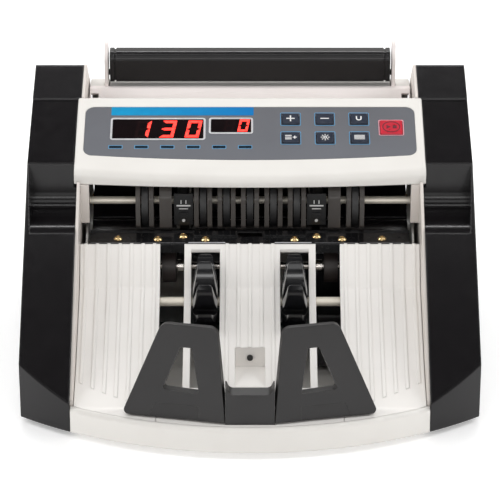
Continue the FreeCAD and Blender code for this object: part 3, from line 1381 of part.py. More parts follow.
main_pulley = pulley("main_pulley", MAIN_PULLEY_R, MAIN_BELT_X, MAIN_MOTOR_Y, MAIN_MOTOR_Z, 1.0)
main_axle = rod("main_axle", 2.4, 10.2, -49.2, MAIN_MOTOR_Y, MAIN_MOTOR_Z)
keep(fuse("main_drive", [main_pulley, main_axle]), "main_motor_pulley")
small_pulley = pulley("small_pulley", STACK_MOTOR_PULLEY_R, STACK_BELT_X, STACK_MOTOR_Y, STACK_MOTOR_Z, 1.0)
small_axle = rod("small_axle", 1.9, 23.8, 100.2, STACK_MOTOR_Y, STACK_MOTOR_Z)
keep(fuse("small_drive", [small_pulley, small_axle]), "stacker_motor_pulley")


def belt(x, first, second, thick):
    """A closed flat belt round two pulleys, each (y, z, radius), a hair clear of both."""
    hair = 0.25
    y_1, z_1, r_1 = first
    y_2, z_2, r_2 = second

    def hull(grow):
        a, b = r_1 + grow, r_2 + grow
        span = math.hypot(y_2 - y_1, z_2 - z_1)
        heading = math.atan2(z_2 - z_1, y_2 - y_1)
        lean = math.acos((a - b) / span)
        spots = []
        for y, z, radius in ((y_1, z_1, a), (y_2, z_2, b)):
            for sign in (1, -1):
                angle = heading + sign * lean
                spots.append(Vec(x, y + radius * math.cos(angle), z + radius * math.sin(angle)))
        far_1 = Vec(x, y_1 - a * math.cos(heading), z_1 - a * math.sin(heading))
        far_2 = Vec(x, y_2 + b * math.cos(heading), z_2 + b * math.sin(heading))
        wire = Part.Wire([
            Part.LineSegment(spots[0], spots[2]).toShape(),
            Part.Arc(spots[2], far_2, spots[3]).toShape(),
            Part.LineSegment(spots[3], spots[1]).toShape(),
            Part.Arc(spots[1], far_1, spots[0]).toShape(),
        ])
        return Part.Face(wire).extrude(Vec(BELT_WIDTH, 0, 0))

    loop = hull(hair + thick).cut(hull(hair))
    loop.translate(Vec(-BELT_WIDTH / 2, 0, 0))
    return loop


main_loop = belt(
    MAIN_BELT_X,
    (dim.count_y.value, dim.count_z.value, COUNT_PULLEY_R),
    (MAIN_MOTOR_Y, MAIN_MOTOR_Z, MAIN_PULLEY_R),
    1.3,
)
keep(solid("main_loop", main_loop), "main_belt")
feed_loop = belt(
    FEED_BELT_X,
    (dim.count_y.value, dim.count_z.value, COUNT_PULLEY_R),
    (dim.feed_y.value, dim.feed_z.value, FEED_PULLEY_R),
    1.2,
)
keep(solid("feed_loop", feed_loop), "feed_belt")
stack_loop = belt(
    STACK_BELT_X,
    (dim.stack_y.value, dim.stack_z.value, STACK_PULLEY_R),
    (STACK_MOTOR_Y, STACK_MOTOR_Z, STACK_MOTOR_PULLEY_R),
    1.2,
)
keep(solid("stack_loop", stack_loop), "stacker_belt")

core = block("supply_core", 46.0, 34.0, 32.0, 34.0, 78.0, 10.0)
winding = block("supply_winding", 30.0, 44.0, 20.0, 42.0, 73.0, 16.0)
stand = block("supply_stand", 58.0, 30.0, 3.4, 28.0, 80.0, 6.6)
keep(fuse("supply", [core, winding, stand]), "transformer")

pcb = block("logic_pcb", 150.0, 60.0, 1.6, -75.0, 0.0, 14.0)
chips = [block(f"logic_chip_{i}", 14.0, 14.0, 2.4, -60.0 + 26.0 * i, 20.0, 15.6) for i in range(4)]
pillar_spots = ((-70, 5), (70, 5), (-70, 55), (70, 55))
pillars = [rod(f"logic_pillar_{i}", 3.0, 7.5, x, y, 6.5, Turn()) for i, (x, y) in enumerate(pillar_spots)]
keep(fuse("logic", [pcb] + chips + pillars), "main_board")


ENTRY_INSET = 2.3
ROCKER_X = -42.0
ROCKER_Y = 133.9
ROCKER_Z = 22.5
ROCKER_PIN_R = 1.0


def power_entry():
    """Three-pin appliance inlet and the case of the mains switch behind one flange."""
    rear = dim.rear_y.value - ENTRY_INSET
    flange = Part.makeBox(56.1, 1.6, 23.6, Vec(-87.3, rear, 10.7))
    inlet_body = Part.makeBox(27.4, 16.0, 20.4, Vec(-85.7, rear - 16.0, 12.3))
    switch_body = Part.makeBox(19.4, 14.0, 13.0, Vec(-51.7, rear - 14.0, 16.0))
    socket = Part.makeBox(23.4, 15.0, 15.4, Vec(-83.7, rear - 13.0, 14.8))
    switch_room = Part.makeBox(15.4, 16.0, 11.0, Vec(-49.7, rear - 10.0, 17.0))
    pivot_bore = Part.makeCylinder(ROCKER_PIN_R + 0.05, 12.6, Vec(ROCKER_X, ROCKER_Y, ROCKER_Z - 6.3))
    shell = flange.fuse([inlet_body, switch_body]).cut([socket, switch_room, pivot_bore])
    spots = ((-73.0, 24.0), (-80.0, 18.0), (-66.0, 18.0))
    blades = [Part.makeBox(2.0, 8.5, 4.0, Vec(x, rear - 13.0, z)) for x, z in spots]
    return shell.fuse(blades)


keep(solid("power_entry", power_entry()), "power_inlet")

rocker_outline = [
    (ROCKER_X - 5.8, ROCKER_Y - 3.0, 0),
    (ROCKER_X + 5.8, ROCKER_Y - 3.0, 0),
    (ROCKER_X + 6.4, ROCKER_Y + 1.6, 0),
    (ROCKER_X, ROCKER_Y + 2.2, 0),
    (ROCKER_X - 6.4, ROCKER_Y + 3.6, 0),
]
rocker_pin = Part.makeCylinder(ROCKER_PIN_R, 12.0, Vec(ROCKER_X, ROCKER_Y, ROCKER_Z - 6.0))
rocker = prism_z(rocker_outline, ROCKER_Z - 5.2, ROCKER_Z + 5.2).fuse(rocker_pin)
keep(solid("rocker", rocker), "power_rocker")

# --------------------------------------------------------------------------------------------------
# Check every object and write the parts
# --------------------------------------------------------------------------------------------------

doc.recompute()
for node in doc.Objects:
    if "Invalid" in node.State or "Error" in node.State:
        raise SystemExit(f"{node.Name} failed: {node.State}")

os.makedirs("parts", exist_ok=True)
for old in os.listdir("parts"):
    if old.endswith(".step"):
        os.remove(os.path.join("parts", old))
for node in PARTS:
    shape = node.Shape
    if shape.isNull() or not shape.isValid() or not shape.Solids:
        raise SystemExit(f"{node.Label} has no valid solid")
    shape.exportStep(os.path.join("parts", node.Label + ".step"))
print(len(PARTS), "parts written")
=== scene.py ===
"""Looks, light and camera of the banknote counter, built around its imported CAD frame."""

import json
import math

import bmesh
import bpy
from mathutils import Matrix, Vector


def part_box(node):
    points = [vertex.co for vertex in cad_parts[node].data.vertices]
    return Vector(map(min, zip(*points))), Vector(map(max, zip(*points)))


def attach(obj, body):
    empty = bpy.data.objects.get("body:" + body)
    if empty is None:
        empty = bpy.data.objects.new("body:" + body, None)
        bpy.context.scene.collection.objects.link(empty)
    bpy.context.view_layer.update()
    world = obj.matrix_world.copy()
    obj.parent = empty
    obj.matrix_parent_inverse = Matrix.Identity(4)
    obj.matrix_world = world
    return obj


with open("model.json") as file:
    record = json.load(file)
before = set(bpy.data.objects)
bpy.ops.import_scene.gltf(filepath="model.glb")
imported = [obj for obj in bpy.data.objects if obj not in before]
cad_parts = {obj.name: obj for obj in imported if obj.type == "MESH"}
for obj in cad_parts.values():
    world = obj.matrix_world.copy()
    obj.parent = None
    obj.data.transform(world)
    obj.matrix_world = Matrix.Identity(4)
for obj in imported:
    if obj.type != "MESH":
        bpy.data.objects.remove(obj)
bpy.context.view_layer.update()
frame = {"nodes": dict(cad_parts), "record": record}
nodes = frame["nodes"]

MM = 0.001

# ---------------------------------------------------------------------------------------------
# Materials
# ---------------------------------------------------------------------------------------------


class Paint:
    """A node-based material, built step by step round one Principled shader."""

    def __init__(self, name, color, rough, metal=0.0, **sockets):
        self.mat = bpy.data.materials.new(name)
        self.mat.use_nodes = True
        self.tree = self.mat.node_tree
        self.shader = self.tree.nodes["Principled BSDF"]
        self.coord = self.add("ShaderNodeTexCoord").outputs["Object"]
        self.color = (*color, 1.0)
        self.shader.inputs["Base Color"].default_value = self.color
        self.shader.inputs["Roughness"].default_value = rough
        self.shader.inputs["Metallic"].default_value = metal
        for key, value in sockets.items():
            self.shader.inputs[key.replace("_", " ")].default_value = value
        self.rough = rough
        self.last_color = None
        self.last_normal = None

    def add(self, kind, **inputs):
        node = self.tree.nodes.new(kind)
        for key, value in inputs.items():
            socket = node.inputs[key.replace("_", " ")]
            if isinstance(value, bpy.types.NodeSocket):
                self.tree.links.new(value, socket)
            else:
                socket.default_value = value
        return node

    def stretch(self, x, y, z):
        """Coordinates in metres, scaled along each axis, for grain that runs one way."""
        node = self.add("ShaderNodeMapping", Vector=self.coord)
        node.inputs["Scale"].default_value = (x, y, z)
        return node.outputs["Vector"]

    def noise(self, size, detail=3.0, where=None):
        """Noise whose lumps are about size metres across."""
        where = where or self.coord
        node = self.add("ShaderNodeTexNoise", Vector=where, Scale=1.0 / size, Detail=detail)
        return node.outputs["Fac"]

    def remap(self, value, low, high, to_low, to_high):
        """Turns the range low to high into to_low to to_high, and holds it there beyond."""
        node = self.add("ShaderNodeMapRange")
        self.tree.links.new(value, node.inputs["Value"])
        limits = {"From Min": low, "From Max": high, "To Min": to_low, "To Max": to_high}
        for key, number in limits.items():
            node.inputs[key].default_value = number
        return node.outputs["Result"]

    def math(self, operation, *values):
        node = self.tree.nodes.new("ShaderNodeMath")
        node.operation = operation
        for value, socket in zip(values, node.inputs):
            self.tree.links.new(value, socket)
        return node.outputs["Value"]

    def blend(self, factor, other):
        """Mixes another colour over what the base colour is so far."""
        node = self.tree.nodes.new("ShaderNodeMix")
        node.data_type = "RGBA"
        self.tree.links.new(factor, node.inputs["Factor"])
        if self.last_color is None:
            node.inputs["A"].default_value = self.color
        else:
            self.tree.links.new(self.last_color, node.inputs["A"])
        node.inputs["B"].default_value = (*other, 1.0)
        self.last_color = node.outputs["Result"]
        self.tree.links.new(self.last_color, self.shader.inputs["Base Color"])
        return self

    def mottle(self, size, shade, amount=1.0):
        """Soft colour variation in large lumps."""
        return self.blend(self.remap(self.noise(size, 2.0), 0.35, 0.7, 0.0, amount), shade)

    def rub(self, size, spread):
        """Roughness that varies by spread either way, in lumps of the given size."""
        lumps = self.noise(size, 4.0)
        value = self.remap(lumps, 0.3, 0.7, self.rough - spread, self.rough + spread)
        self.tree.links.new(value, self.shader.inputs["Roughness"])
        return self

    def round_edges(self, radius):
        """Edges that catch the light as if they had this radius."""
        node = self.add("ShaderNodeBevel", Radius=radius)
        node.samples = 4
        self.last_normal = node.outputs["Normal"]
        self.tree.links.new(self.last_normal, self.shader.inputs["Normal"])
        return self

    def wear(self, shade, amount, reach=0.0009):
        """Lighter, rubbed edges, broken up by noise."""
        soft = self.add("ShaderNodeBevel", Radius=reach)
        soft.samples = 4
        here = self.add("ShaderNodeNewGeometry")
        product = self.tree.nodes.new("ShaderNodeVectorMath")
        product.operation = "DOT_PRODUCT"
        self.tree.links.new(soft.outputs["Normal"], product.inputs[0])
        self.tree.links.new(here.outputs["Normal"], product.inputs[1])
        edge = self.remap(product.outputs["Value"], 0.98, 0.78, 0.0, 1.0)
        broken = self.remap(self.noise(0.004, 5.0), 0.38, 0.62, 0.1, amount)
        return self.blend(self.math("MULTIPLY", edge, broken), shade)

    def bump(self, value, depth):
        """Raises the surface by up to depth metres where value is high."""
        node = self.add("ShaderNodeBump", Strength=1.0, Distance=depth)
        self.tree.links.new(value, node.inputs["Height"])
        if self.last_normal is not None:
            self.tree.links.new(self.last_normal, node.inputs["Normal"])
        self.last_normal = node.outputs["Normal"]
        self.tree.links.new(self.last_normal, self.shader.inputs["Normal"])
        return self

    def grain(self, size, depth):
        """The fine texture of a moulded surface."""
        return self.bump(self.noise(size, 2.0), depth)


def moulded(name, color, shade, rough, grain_size, grain_depth, edge, **sockets):
    """Moulded thermoplastic: mottled colour, uneven gloss, rounded edges and a fine texture."""
    paint = Paint(name, color, rough, **sockets)
    paint.mottle(0.03, shade, 0.8).rub(0.006, 0.02)
    return paint.round_edges(edge).grain(grain_size, grain_depth)


def metal(name, color, shade, rough, stretch, depth=4e-6, edge=0.0003):
    """Steel or brass with a drawn or ground grain along one axis."""
    paint = Paint(name, color, rough, 1.0)
    lines = paint.noise(0.0006, 4.0, paint.stretch(*stretch))
    paint.blend(paint.remap(lines, 0.35, 0.65, 0.0, 0.7), shade)
    paint.mottle(0.01, shade, 0.4)
    value = paint.remap(lines, 0.3, 0.7, rough - 0.06, rough + 0.1)
    paint.tree.links.new(value, paint.shader.inputs["Roughness"])
    return paint.round_edges(edge).bump(lines, depth)


def rubber(name, color, shade, rough, grain_size=0.0003, depth=1.2e-5, **sockets):
    """Rubber: blotched, unevenly matt and finely pitted."""
    paint = Paint(name, color, rough, **sockets)
    paint.mottle(0.008, shade, 0.8).rub(0.003, 0.08)
    return paint.round_edges(0.0004).grain(grain_size, depth)


paints = {
    "warm_white_abs": moulded(
        "abs_warm_white", (0.755, 0.735, 0.70), (0.725, 0.70, 0.665), 0.38, 0.0004, 7e-6, 0.0011,
        Specular_IOR_Level=0.45,
    ),
    "beige_abs": moulded(
        "abs_beige", (0.70, 0.65, 0.61), (0.66, 0.61, 0.56), 0.40, 0.0004, 8e-6, 0.0009
    ),
    "black_abs": moulded(
        "abs_black", (0.0050, 0.0042, 0.0050), (0.0062, 0.0054, 0.0062), 0.2, 0.00045, 2e-6, 0.0012,
        Specular_IOR_Level=0.4,
    ).wear((0.06, 0.06, 0.065), 0.5),
    "charcoal_plastic": moulded(
        "plastic_charcoal", (0.0115, 0.0105, 0.0108), (0.016, 0.0148, 0.0150),
        0.42, 0.0004, 1.4e-5, 0.0007,
    ).wear((0.16, 0.15, 0.15), 0.6, 0.0006),
    "grey_plastic": moulded(
        "plastic_grey", (0.040, 0.034, 0.030), (0.055, 0.048, 0.042), 0.36, 0.0004, 1.2e-5, 0.0005
    ).wear((0.17, 0.15, 0.13), 0.5, 0.0006),
    "black_rubber": rubber("rubber_black", (0.016, 0.016, 0.017), (0.03, 0.029, 0.029), 0.46),
    "gloss_black_rubber": rubber(
        "rubber_gloss", (0.011, 0.011, 0.012), (0.02, 0.02, 0.022), 0.17, 0.0006, 6e-6,
        Coat_Weight=0.4, Coat_Roughness=0.08,
    ),
    "belt_rubber": rubber("rubber_belt", (0.02, 0.02, 0.02), (0.04, 0.038, 0.035), 0.55),
    "circuit_board": moulded(
        "board_lacquer", (0.005, 0.010, 0.009), (0.008, 0.018, 0.013), 0.3, 0.0008, 1e-5, 0.0002,
        Coat_Weight=0.3,
    ),
    "black_nylon": moulded(
        "nylon_black", (0.018, 0.018, 0.019), (0.03, 0.03, 0.03), 0.36, 0.0004, 9e-6, 0.0005
    ),
    "motor_steel": moulded(
        "motor_can", (0.03, 0.03, 0.032), (0.05, 0.05, 0.052), 0.3, 0.0005, 6e-6, 0.0006,
        Metallic=0.7,
    ),
    "transformer_steel": metal(
        "steel_laminations", (0.13, 0.13, 0.14), (0.05, 0.05, 0.06), 0.45, (1.0, 1.0, 14.0), 2e-5
    ),
    "zinc_steel": metal("steel_zinc", (0.55, 0.54, 0.5), (0.42, 0.42, 0.42), 0.34, (0.1, 1.0, 8.0)),
    # pale, near-white base colour: with the lowered metallic set further down, it paints a highlight
    # onto the shafts
    "ground_steel": metal(
        "steel_ground_painted_highlight", (0.95, 0.89, 0.78), (0.84, 0.78, 0.66), 0.4, (22.0, 1.0, 1.0), 2e-6
    ),
    "bronze": metal("bronze_bush", (0.5, 0.34, 0.17), (0.36, 0.24, 0.12), 0.38, (6.0, 1.0, 1.0)),
    "brass": metal("brass_screw", (0.82, 0.60, 0.30), (0.6, 0.42, 0.2), 0.24, (2.0, 2.0, 1.0)),
}

coat = Paint("steel_black_coat", (0.006, 0.006, 0.0065), 0.24, Specular_IOR_Level=0.3)
coat.mottle(0.02, (0.010, 0.010, 0.011)).rub(0.004, 0.05).round_edges(0.0004)
coat.bump(coat.noise(0.0012, 3.0), 8e-6).wear((0.2, 0.2, 0.2), 0.35, 0.0004)
paints["painted_steel"] = coat

frost = Paint("plastic_clear", (0.86, 0.88, 0.9), 0.24, Transmission_Weight=0.82, IOR=1.49)
frost.mottle(0.02, (0.78, 0.81, 0.84)).rub(0.004, 0.06).round_edges(0.0004).grain(0.0006, 8e-6)
paints["clear_plastic"] = frost

overlay = Paint("print_grey", (0.118, 0.124, 0.142), 0.42)
place = overlay.add("ShaderNodeSeparateXYZ", Vector=overlay.coord)
OVERLAY_LOW_Z, OVERLAY_HIGH_Z = 0.132, 0.157
up_the_panel = overlay.remap(place.outputs["Z"], OVERLAY_LOW_Z, OVERLAY_HIGH_Z, 0.0, 1.0)
overlay.blend(up_the_panel, (0.088, 0.090, 0.102))
overlay.mottle(0.05, (0.130, 0.136, 0.155), 0.5).rub(0.004, 0.04).bump(overlay.noise(0.0005, 2.0), 9e-6)
overlay.round_edges(0.0003)
paints["printed_polyester"] = overlay

smoke = Paint("acrylic_smoked", (0.0045, 0.0022, 0.0028), 0.1)
smoke.mottle(0.012, (0.007, 0.003, 0.004)).rub(0.01, 0.03).bump(smoke.noise(0.02, 1.0), 4e-6)
paints["smoked_acrylic"] = smoke

glow = Paint("digit_red", (0.9, 0.02, 0.015), 0.4, Emission_Strength=1.35)
heart = glow.remap(glow.noise(0.0025, 1.0), 0.3, 0.7, 0.0, 1.0)
glow.blend(heart, (1.0, 0.05, 0.03))
glow.tree.links.new(glow.last_color, glow.shader.inputs["Emission Color"])
paints["red_led"] = glow

navy = Paint("key_navy", (0.006, 0.011, 0.026), 0.34, Coat_Weight=0.15)
navy.mottle(0.004, (0.010, 0.018, 0.038)).rub(0.002, 0.05).round_edges(0.0005).grain(0.0004, 8e-6)
paints["key_plastic"] = navy
ruby = Paint("key_red", (0.46, 0.006, 0.022), 0.32, Coat_Weight=0.2)
ruby.mottle(0.004, (0.58, 0.012, 0.035)).rub(0.002, 0.05).round_edges(0.0005).grain(0.0004, 8e-6)
paints["red_key_plastic"] = ruby


def ink(name, color, shade, rough=0.4, metallic=0.0):
    """Screen-printed or foil detail with a faint unevenness."""
    paint = Paint(name, color, rough, metallic)
    return paint.mottle(0.006, shade, 0.9).rub(0.002, 0.05).grain(0.0005, 5e-6)


cyan_ink = ink("ink_cyan", (0.003, 0.25, 0.48), (0.004, 0.29, 0.54))
across = cyan_ink.add("ShaderNodeSeparateXYZ", Vector=cyan_ink.coord)
cyan_ink.blend(cyan_ink.remap(across.outputs["X"], -0.09, 0.0, 0.0, 1.0), (0.002, 0.16, 0.44))
line_ink = ink("ink_line_blue", (0.075, 0.24, 0.42), (0.09, 0.28, 0.48))
white_ink = ink("ink_white", (0.82, 0.82, 0.80), (0.72, 0.72, 0.72))
rose_ink = ink("ink_rose", (0.80, 0.36, 0.42), (0.86, 0.44, 0.5))
wine_ink = ink("ink_wine", (0.10, 0.004, 0.012), (0.14, 0.008, 0.02))
# silver foil on the window frames, and painted highlight on the exit plate's front edge
silver_foil_and_glint = ink("foil_silver_and_painted_glint", (0.60, 0.60, 0.62), (0.72, 0.72, 0.74), 0.34, 0.35)
lamp_dark = ink("lamp_dark", (0.006, 0.014, 0.024), (0.012, 0.026, 0.04), 0.2)
ghost_red = ink("digit_off", (0.0095, 0.0035, 0.0042), (0.012, 0.0045, 0.005), 0.12)
# grey for the fainter painted highlight along the exit plate's front edge
edge_faint_painted_highlight = ink("edge_faint_painted_highlight", (0.10, 0.10, 0.105), (0.16, 0.16, 0.165), 0.3, 0.4)


def wear_paint(obj, paint):
    """Gives an object one material, without touching the mesh that CAD nodes share."""
    if not obj.data.materials:
        obj.data.materials.append(paint.mat)
    for slot in obj.material_slots:
        slot.link = "OBJECT"
        slot.material = paint.mat


# the exit shaft's two tyres are brown rubber, and the rest of that piece is ground steel
TYRE_NEAR, TYRE_FAR, TYRE_FADE = 0.0483, 0.0575, 0.0002
tyred = metal("steel_with_tyres", (0.80, 0.75, 0.70), (0.62, 0.58, 0.55), 0.24, (22.0, 1.0, 1.0), 2e-6)
across = tyred.add("ShaderNodeSeparateXYZ", Vector=tyred.coord).outputs["X"]
outward = tyred.math("ABSOLUTE", across)
rim = tyred.remap(outward, TYRE_NEAR, TYRE_NEAR + TYRE_FADE, 0.0, 1.0)
within = tyred.remap(outward, TYRE_FAR, TYRE_FAR + TYRE_FADE, 1.0, 0.0)
on_tyre = tyred.math("MULTIPLY", rim, within)
tyred.blend(on_tyre, (0.035, 0.026, 0.024))
tyred.tree.links.new(tyred.remap(on_tyre, 0.0, 1.0, 1.0, 0.0), tyred.shader.inputs["Metallic"])
tyred.tree.links.new(tyred.remap(on_tyre, 0.0, 1.0, 0.24, 0.5), tyred.shader.inputs["Roughness"])

# the shafts are brushed, and made mostly diffuse so that their pale base colour paints in the bright
# highlight of shafts that sit in shade; the strip's ink has little gloss
paints["ground_steel"].shader.inputs["Metallic"].default_value = 0.35
cyan_ink.shader.inputs["Specular IOR Level"].default_value = 0.12

# a lighter copy of the warm white ABS for the stacker plates: painted light, standing in for the
# stronger light they catch
stacker_painted_light = moulded(
    "abs_stacker_white_painted_light", (0.88, 0.855, 0.825), (0.85, 0.825, 0.79), 0.36, 0.0004, 7e-6, 0.0009
)
# a lighter copy of the white ABS for the hopper deck: painted light, standing in for the light that
# falls on it
deck_painted_light = moulded(
    "abs_deck_white_painted_light", (0.88, 0.82, 0.80), (0.85, 0.79, 0.765), 0.38, 0.0004, 7e-6, 0.0009
)
leaf_gloss = moulded(
    "nylon_gloss", (0.008, 0.008, 0.009), (0.014, 0.014, 0.016), 0.16, 0.0005, 4e-6, 0.0007,
    Coat_Weight=0.3,
)
sensor_black = moulded(
    "sensor_black", (0.006, 0.006, 0.0065), (0.010, 0.010, 0.011), 0.3, 0.0006, 6e-6, 0.0003
)

finish_of = {row["node"]: row["material_slot"] for row in frame["record"]["subparts"]}
for name, obj in nodes.items():
    wear_paint(obj, paints[finish_of[name]])
wear_paint(nodes["exit_roller_shaft"], tyred)
wear_paint(nodes["note_sensors"], sensor_black)
wear_paint(nodes["hopper_plate"], deck_painted_light)
for name in ("stacker_plate_left", "stacker_plate_middle", "stacker_plate_right"):
    wear_paint(nodes[name], stacker_painted_light)
for name in ("impeller_left", "impeller_right"):
    wear_paint(nodes[name], leaf_gloss)

# ---------------------------------------------------------------------------------------------
# Mesh tools
# ---------------------------------------------------------------------------------------------


def piece(name, verts, faces, paint, body, slot):
    """A closed mesh with outward faces that rides on one CAD body."""
    mesh = bpy.data.meshes.new(name)
    mesh.from_pydata([tuple(v) for v in verts], [], faces)
    mesh.validate()
    obj = bpy.data.objects.new(name, mesh)
    bpy.context.scene.collection.objects.link(obj)
    work = bmesh.new()
    work.from_mesh(mesh)
    bmesh.ops.remove_doubles(work, verts=work.verts, dist=1e-7)
    bmesh.ops.recalc_face_normals(work, faces=work.faces)
    work.to_mesh(mesh)
    work.free()
    mesh.materials.append(paint.mat)
    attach(obj, body)
    return obj


def loft(rings, closed=False):
    """Vertices and faces through a list of equal rings, capped at both ends or joined round."""
    count = len(rings[0])
    verts = [v for ring in rings for v in ring]
    faces = []
    spans = len(rings) if closed else len(rings) - 1
    for i in range(spans):
        a, b = i * count, ((i + 1) % len(rings)) * count
        for j in range(count):
            k = (j + 1) % count
            faces.append((a + j, a + k, b + k, b + j))
    if not closed:
        faces.append(tuple(range(count - 1, -1, -1)))
        faces.append(tuple((len(rings) - 1) * count + j for j in range(count)))
    return verts, faces


def merge(shapes):
    """Several vertex and face lists as one."""
    verts, faces = [], []
    for more_verts, more_faces in shapes:
        start = len(verts)
        verts += more_verts
        faces += [tuple(start + i for i in face) for face in more_faces]
    return verts, faces


def rounded(low_u, low_v, high_u, high_v, radius, steps=5):
    """Outline of a rectangle with round corners."""
    corners = (
        (high_u - radius, high_v - radius, 0),
        (low_u + radius, high_v - radius, 90),
        (low_u + radius, low_v + radius, 180),
        (high_u - radius, low_v + radius, 270),
    )
    made = []
    for u, v, start in corners:
        for i in range(steps + 1):
            turn = math.radians(start + 90.0 * i / steps)
            made.append((u + radius * math.cos(turn), v + radius * math.sin(turn)))
    return made


def centred(u, v, half_u, half_v, radius, steps=5):
    """Outline of a round-cornered rectangle about its middle."""
    return rounded(u - half_u, v - half_v, u + half_u, v + half_v, radius, steps)


def circle(u, v, radius, steps=32, squash=1.0):
    """Outline of a circle, or of an oval when squash is below one."""
    return [
        (u + radius * math.cos(t), v + squash * radius * math.sin(t))
        for t in (2 * math.pi * i / steps for i in range(steps))
    ]


def slab(outline, low, high, where, chamfer=0.0, inner=None):
    """A thin plate between two heights. inner is the outline of its hole, with as many points."""
    rings = [[where(u, v, low) for u, v in outline]]
    if chamfer:
        rings.append([where(u, v, high - chamfer) for u, v in outline])
        rings.append([where(u, v, high) for u, v in shrink(outline, chamfer)])
    else:
        rings.append([where(u, v, high) for u, v in outline])
    if inner is None:
        return loft(rings)
    if chamfer:
        rings.append([where(u, v, high) for u, v in shrink(inner, -chamfer)])
        rings.append([where(u, v, high - chamfer) for u, v in inner])
    else:
        rings.append([where(u, v, high) for u, v in inner])
    rings.append([where(u, v, low) for u, v in inner])
    return loft(rings, closed=True)


def shrink(outline, amount):
    """An outline moved inward by amount along its own normals."""
    made = []
    count = len(outline)
    for i in range(count):
        before, here, after = (Vector(outline[(i + k) % count]) for k in (-1, 0, 1))
        first, second = (here - before), (after - here)
        if first.length < 1e-9:
            first = second
        if second.length < 1e-9:
            second = first
        first.normalize()
        second.normalize()
        normal = Vector((-first.y - second.y, first.x + second.x))
        normal = normal.normalized() / max(0.5, math.sqrt(max(0.0, (1 + first.dot(second)) / 2)))
        made.append((here.x + amount * normal.x, here.y + amount * normal.y))
    return made


def bar(start, end, width):
    """Outline of a straight stroke."""
    a, b = Vector(start), Vector(end)
    along = (b - a).normalized() * width / 2
    side = Vector((-along.y, along.x))
    corners = (a - along - side, b + along - side, b + along + side, a - along + side)
    return [tuple(corner) for corner in corners]


# ---------------------------------------------------------------------------------------------
# Control panel: everything printed or inlaid on the sloping overlay
# ---------------------------------------------------------------------------------------------

PANEL_Y, PANEL_Z = 19.5, 133.0
SLOPE = math.atan2(24.0, 56.0)


def panel(u, v, w):
    """A point on the panel: u to the right, v up the slope and w outward, in millimetres."""
    return Vector((
        u * MM,
        (PANEL_Y + v * math.cos(SLOPE) - w * math.sin(SLOPE)) * MM,
        (PANEL_Z + v * math.sin(SLOPE) + w * math.cos(SLOPE)) * MM,
    ))


# heights over the surface that a detail lies on, in millimetres
SINK = 0.05
INK_RISE = 0.05
STRIP_RISE = 0.06


def printed(name, outline, rise, paint, chamfer=0.0, inner=None):
    """One detail printed or stuck on the overlay."""
    shape = slab(outline, -SINK, rise, panel, chamfer, inner)
    return piece(name, *shape, paint, "machine", "printed_polyester")


printed("panel_stripe", rounded(-92.0, 44.4, 2.4, 52.2, 0.5), STRIP_RISE, cyan_ink)

FRAME_RISE, FRAME_CHAMFER = 0.28, 0.12
FRAME_WIDTH, FRAME_OVERLAP = 1.4, 0.1
WINDOWS = {"main": (-90.7, 22.6, -30.7, 40.6), "batch": (-25.8, 28.4, 0.7, 40.8)}
for name, window in WINDOWS.items():
    outer, inner = (
        rounded(window[0] - grow, window[1] - grow, window[2] + grow, window[3] + grow, radius)
        for grow, radius in ((FRAME_WIDTH, 2.0), (FRAME_OVERLAP, 0.8))
    )
    printed(f"{name}_window_frame", outer, FRAME_RISE, silver_foil_and_glint, FRAME_CHAMFER, inner)

# unlit bars of the figures, just under the windows' surface: lower edge, width, height and stroke
SLANT = 0.16
MAIN_FIGURE = (23.6, 9.2, 15.6, 2.1)
BATCH_FIGURE = (29.2, 6.6, 11.0, 1.6)
UNLIT_LOW, UNLIT_HIGH = -0.12, -0.04
BAR_GAP = 0.25


def digit_bars(names, u, v, width, height, stroke):
    """Bars of one seven-segment figure, its lower left corner at u, v."""
    half, inner, gap = height / 2, width - stroke, BAR_GAP
    below, above, top = half - stroke / 2, half + stroke / 2, height - stroke
    bars = {
        "a": [(0, height), (width, height), (inner, top), (stroke, top)],
        "b": [(width, height - gap), (width, half + gap), (inner, above + gap), (inner, top - gap)],
        "c": [(width, gap), (width, half - gap), (inner, below - gap), (inner, stroke + gap)],
        "d": [(0, 0), (width, 0), (inner, stroke), (stroke, stroke)],
        "e": [(0, gap), (0, half - gap), (stroke, below - gap), (stroke, stroke + gap)],
        "f": [(0, height - gap), (0, half + gap), (stroke, above + gap), (stroke, top - gap)],
        "g": [
            (gap, half), (stroke, above), (inner, above),
            (width - gap, half), (inner, below), (stroke, below),
        ],
    }
    made = []
    for name in names:
        outline = [(u + a + b * SLANT, v + b) for a, b in bars[name]]
        made.append(slab(outline, UNLIT_LOW, UNLIT_HIGH, panel))
    return made


unlit = []
for names, u, figure in (
    ("adefg", -76.5, MAIN_FIGURE),
    ("ef", -59.8, MAIN_FIGURE),
    ("g", -43.1, MAIN_FIGURE),
    ("abcdefg", -17.6, BATCH_FIGURE),
    ("g", -8.4, BATCH_FIGURE),
):
    unlit += digit_bars(names, u, *figure)
piece("unlit_bars", *merge(unlit), ghost_red, "machine", "smoked_acrylic")

LAMPS, LAMP_V, LAMP_FIRST_U, LAMP_PITCH = 6, 14.7, -88.2, 17.0
LENS_RISE, LENS_CHAMFER = 0.12, 0.08
for i in range(LAMPS):
    u = LAMP_FIRST_U + LAMP_PITCH * i
    inner = centred(u, LAMP_V, 4.2, 1.2, 0.3)
    printed(f"lamp_border_{i + 1}", centred(u, LAMP_V, 4.7, 1.7, 0.5), INK_RISE, line_ink, 0.0, inner)
    lens = centred(u, LAMP_V, 4.1, 1.1, 0.3)
    printed(f"lamp_lens_{i + 1}", lens, LENS_RISE, lamp_dark, LENS_CHAMFER)

# ---------------------------------------------------------------------------------------------
# Keys: a printed border on the overlay and a symbol that rides on the key
# ---------------------------------------------------------------------------------------------

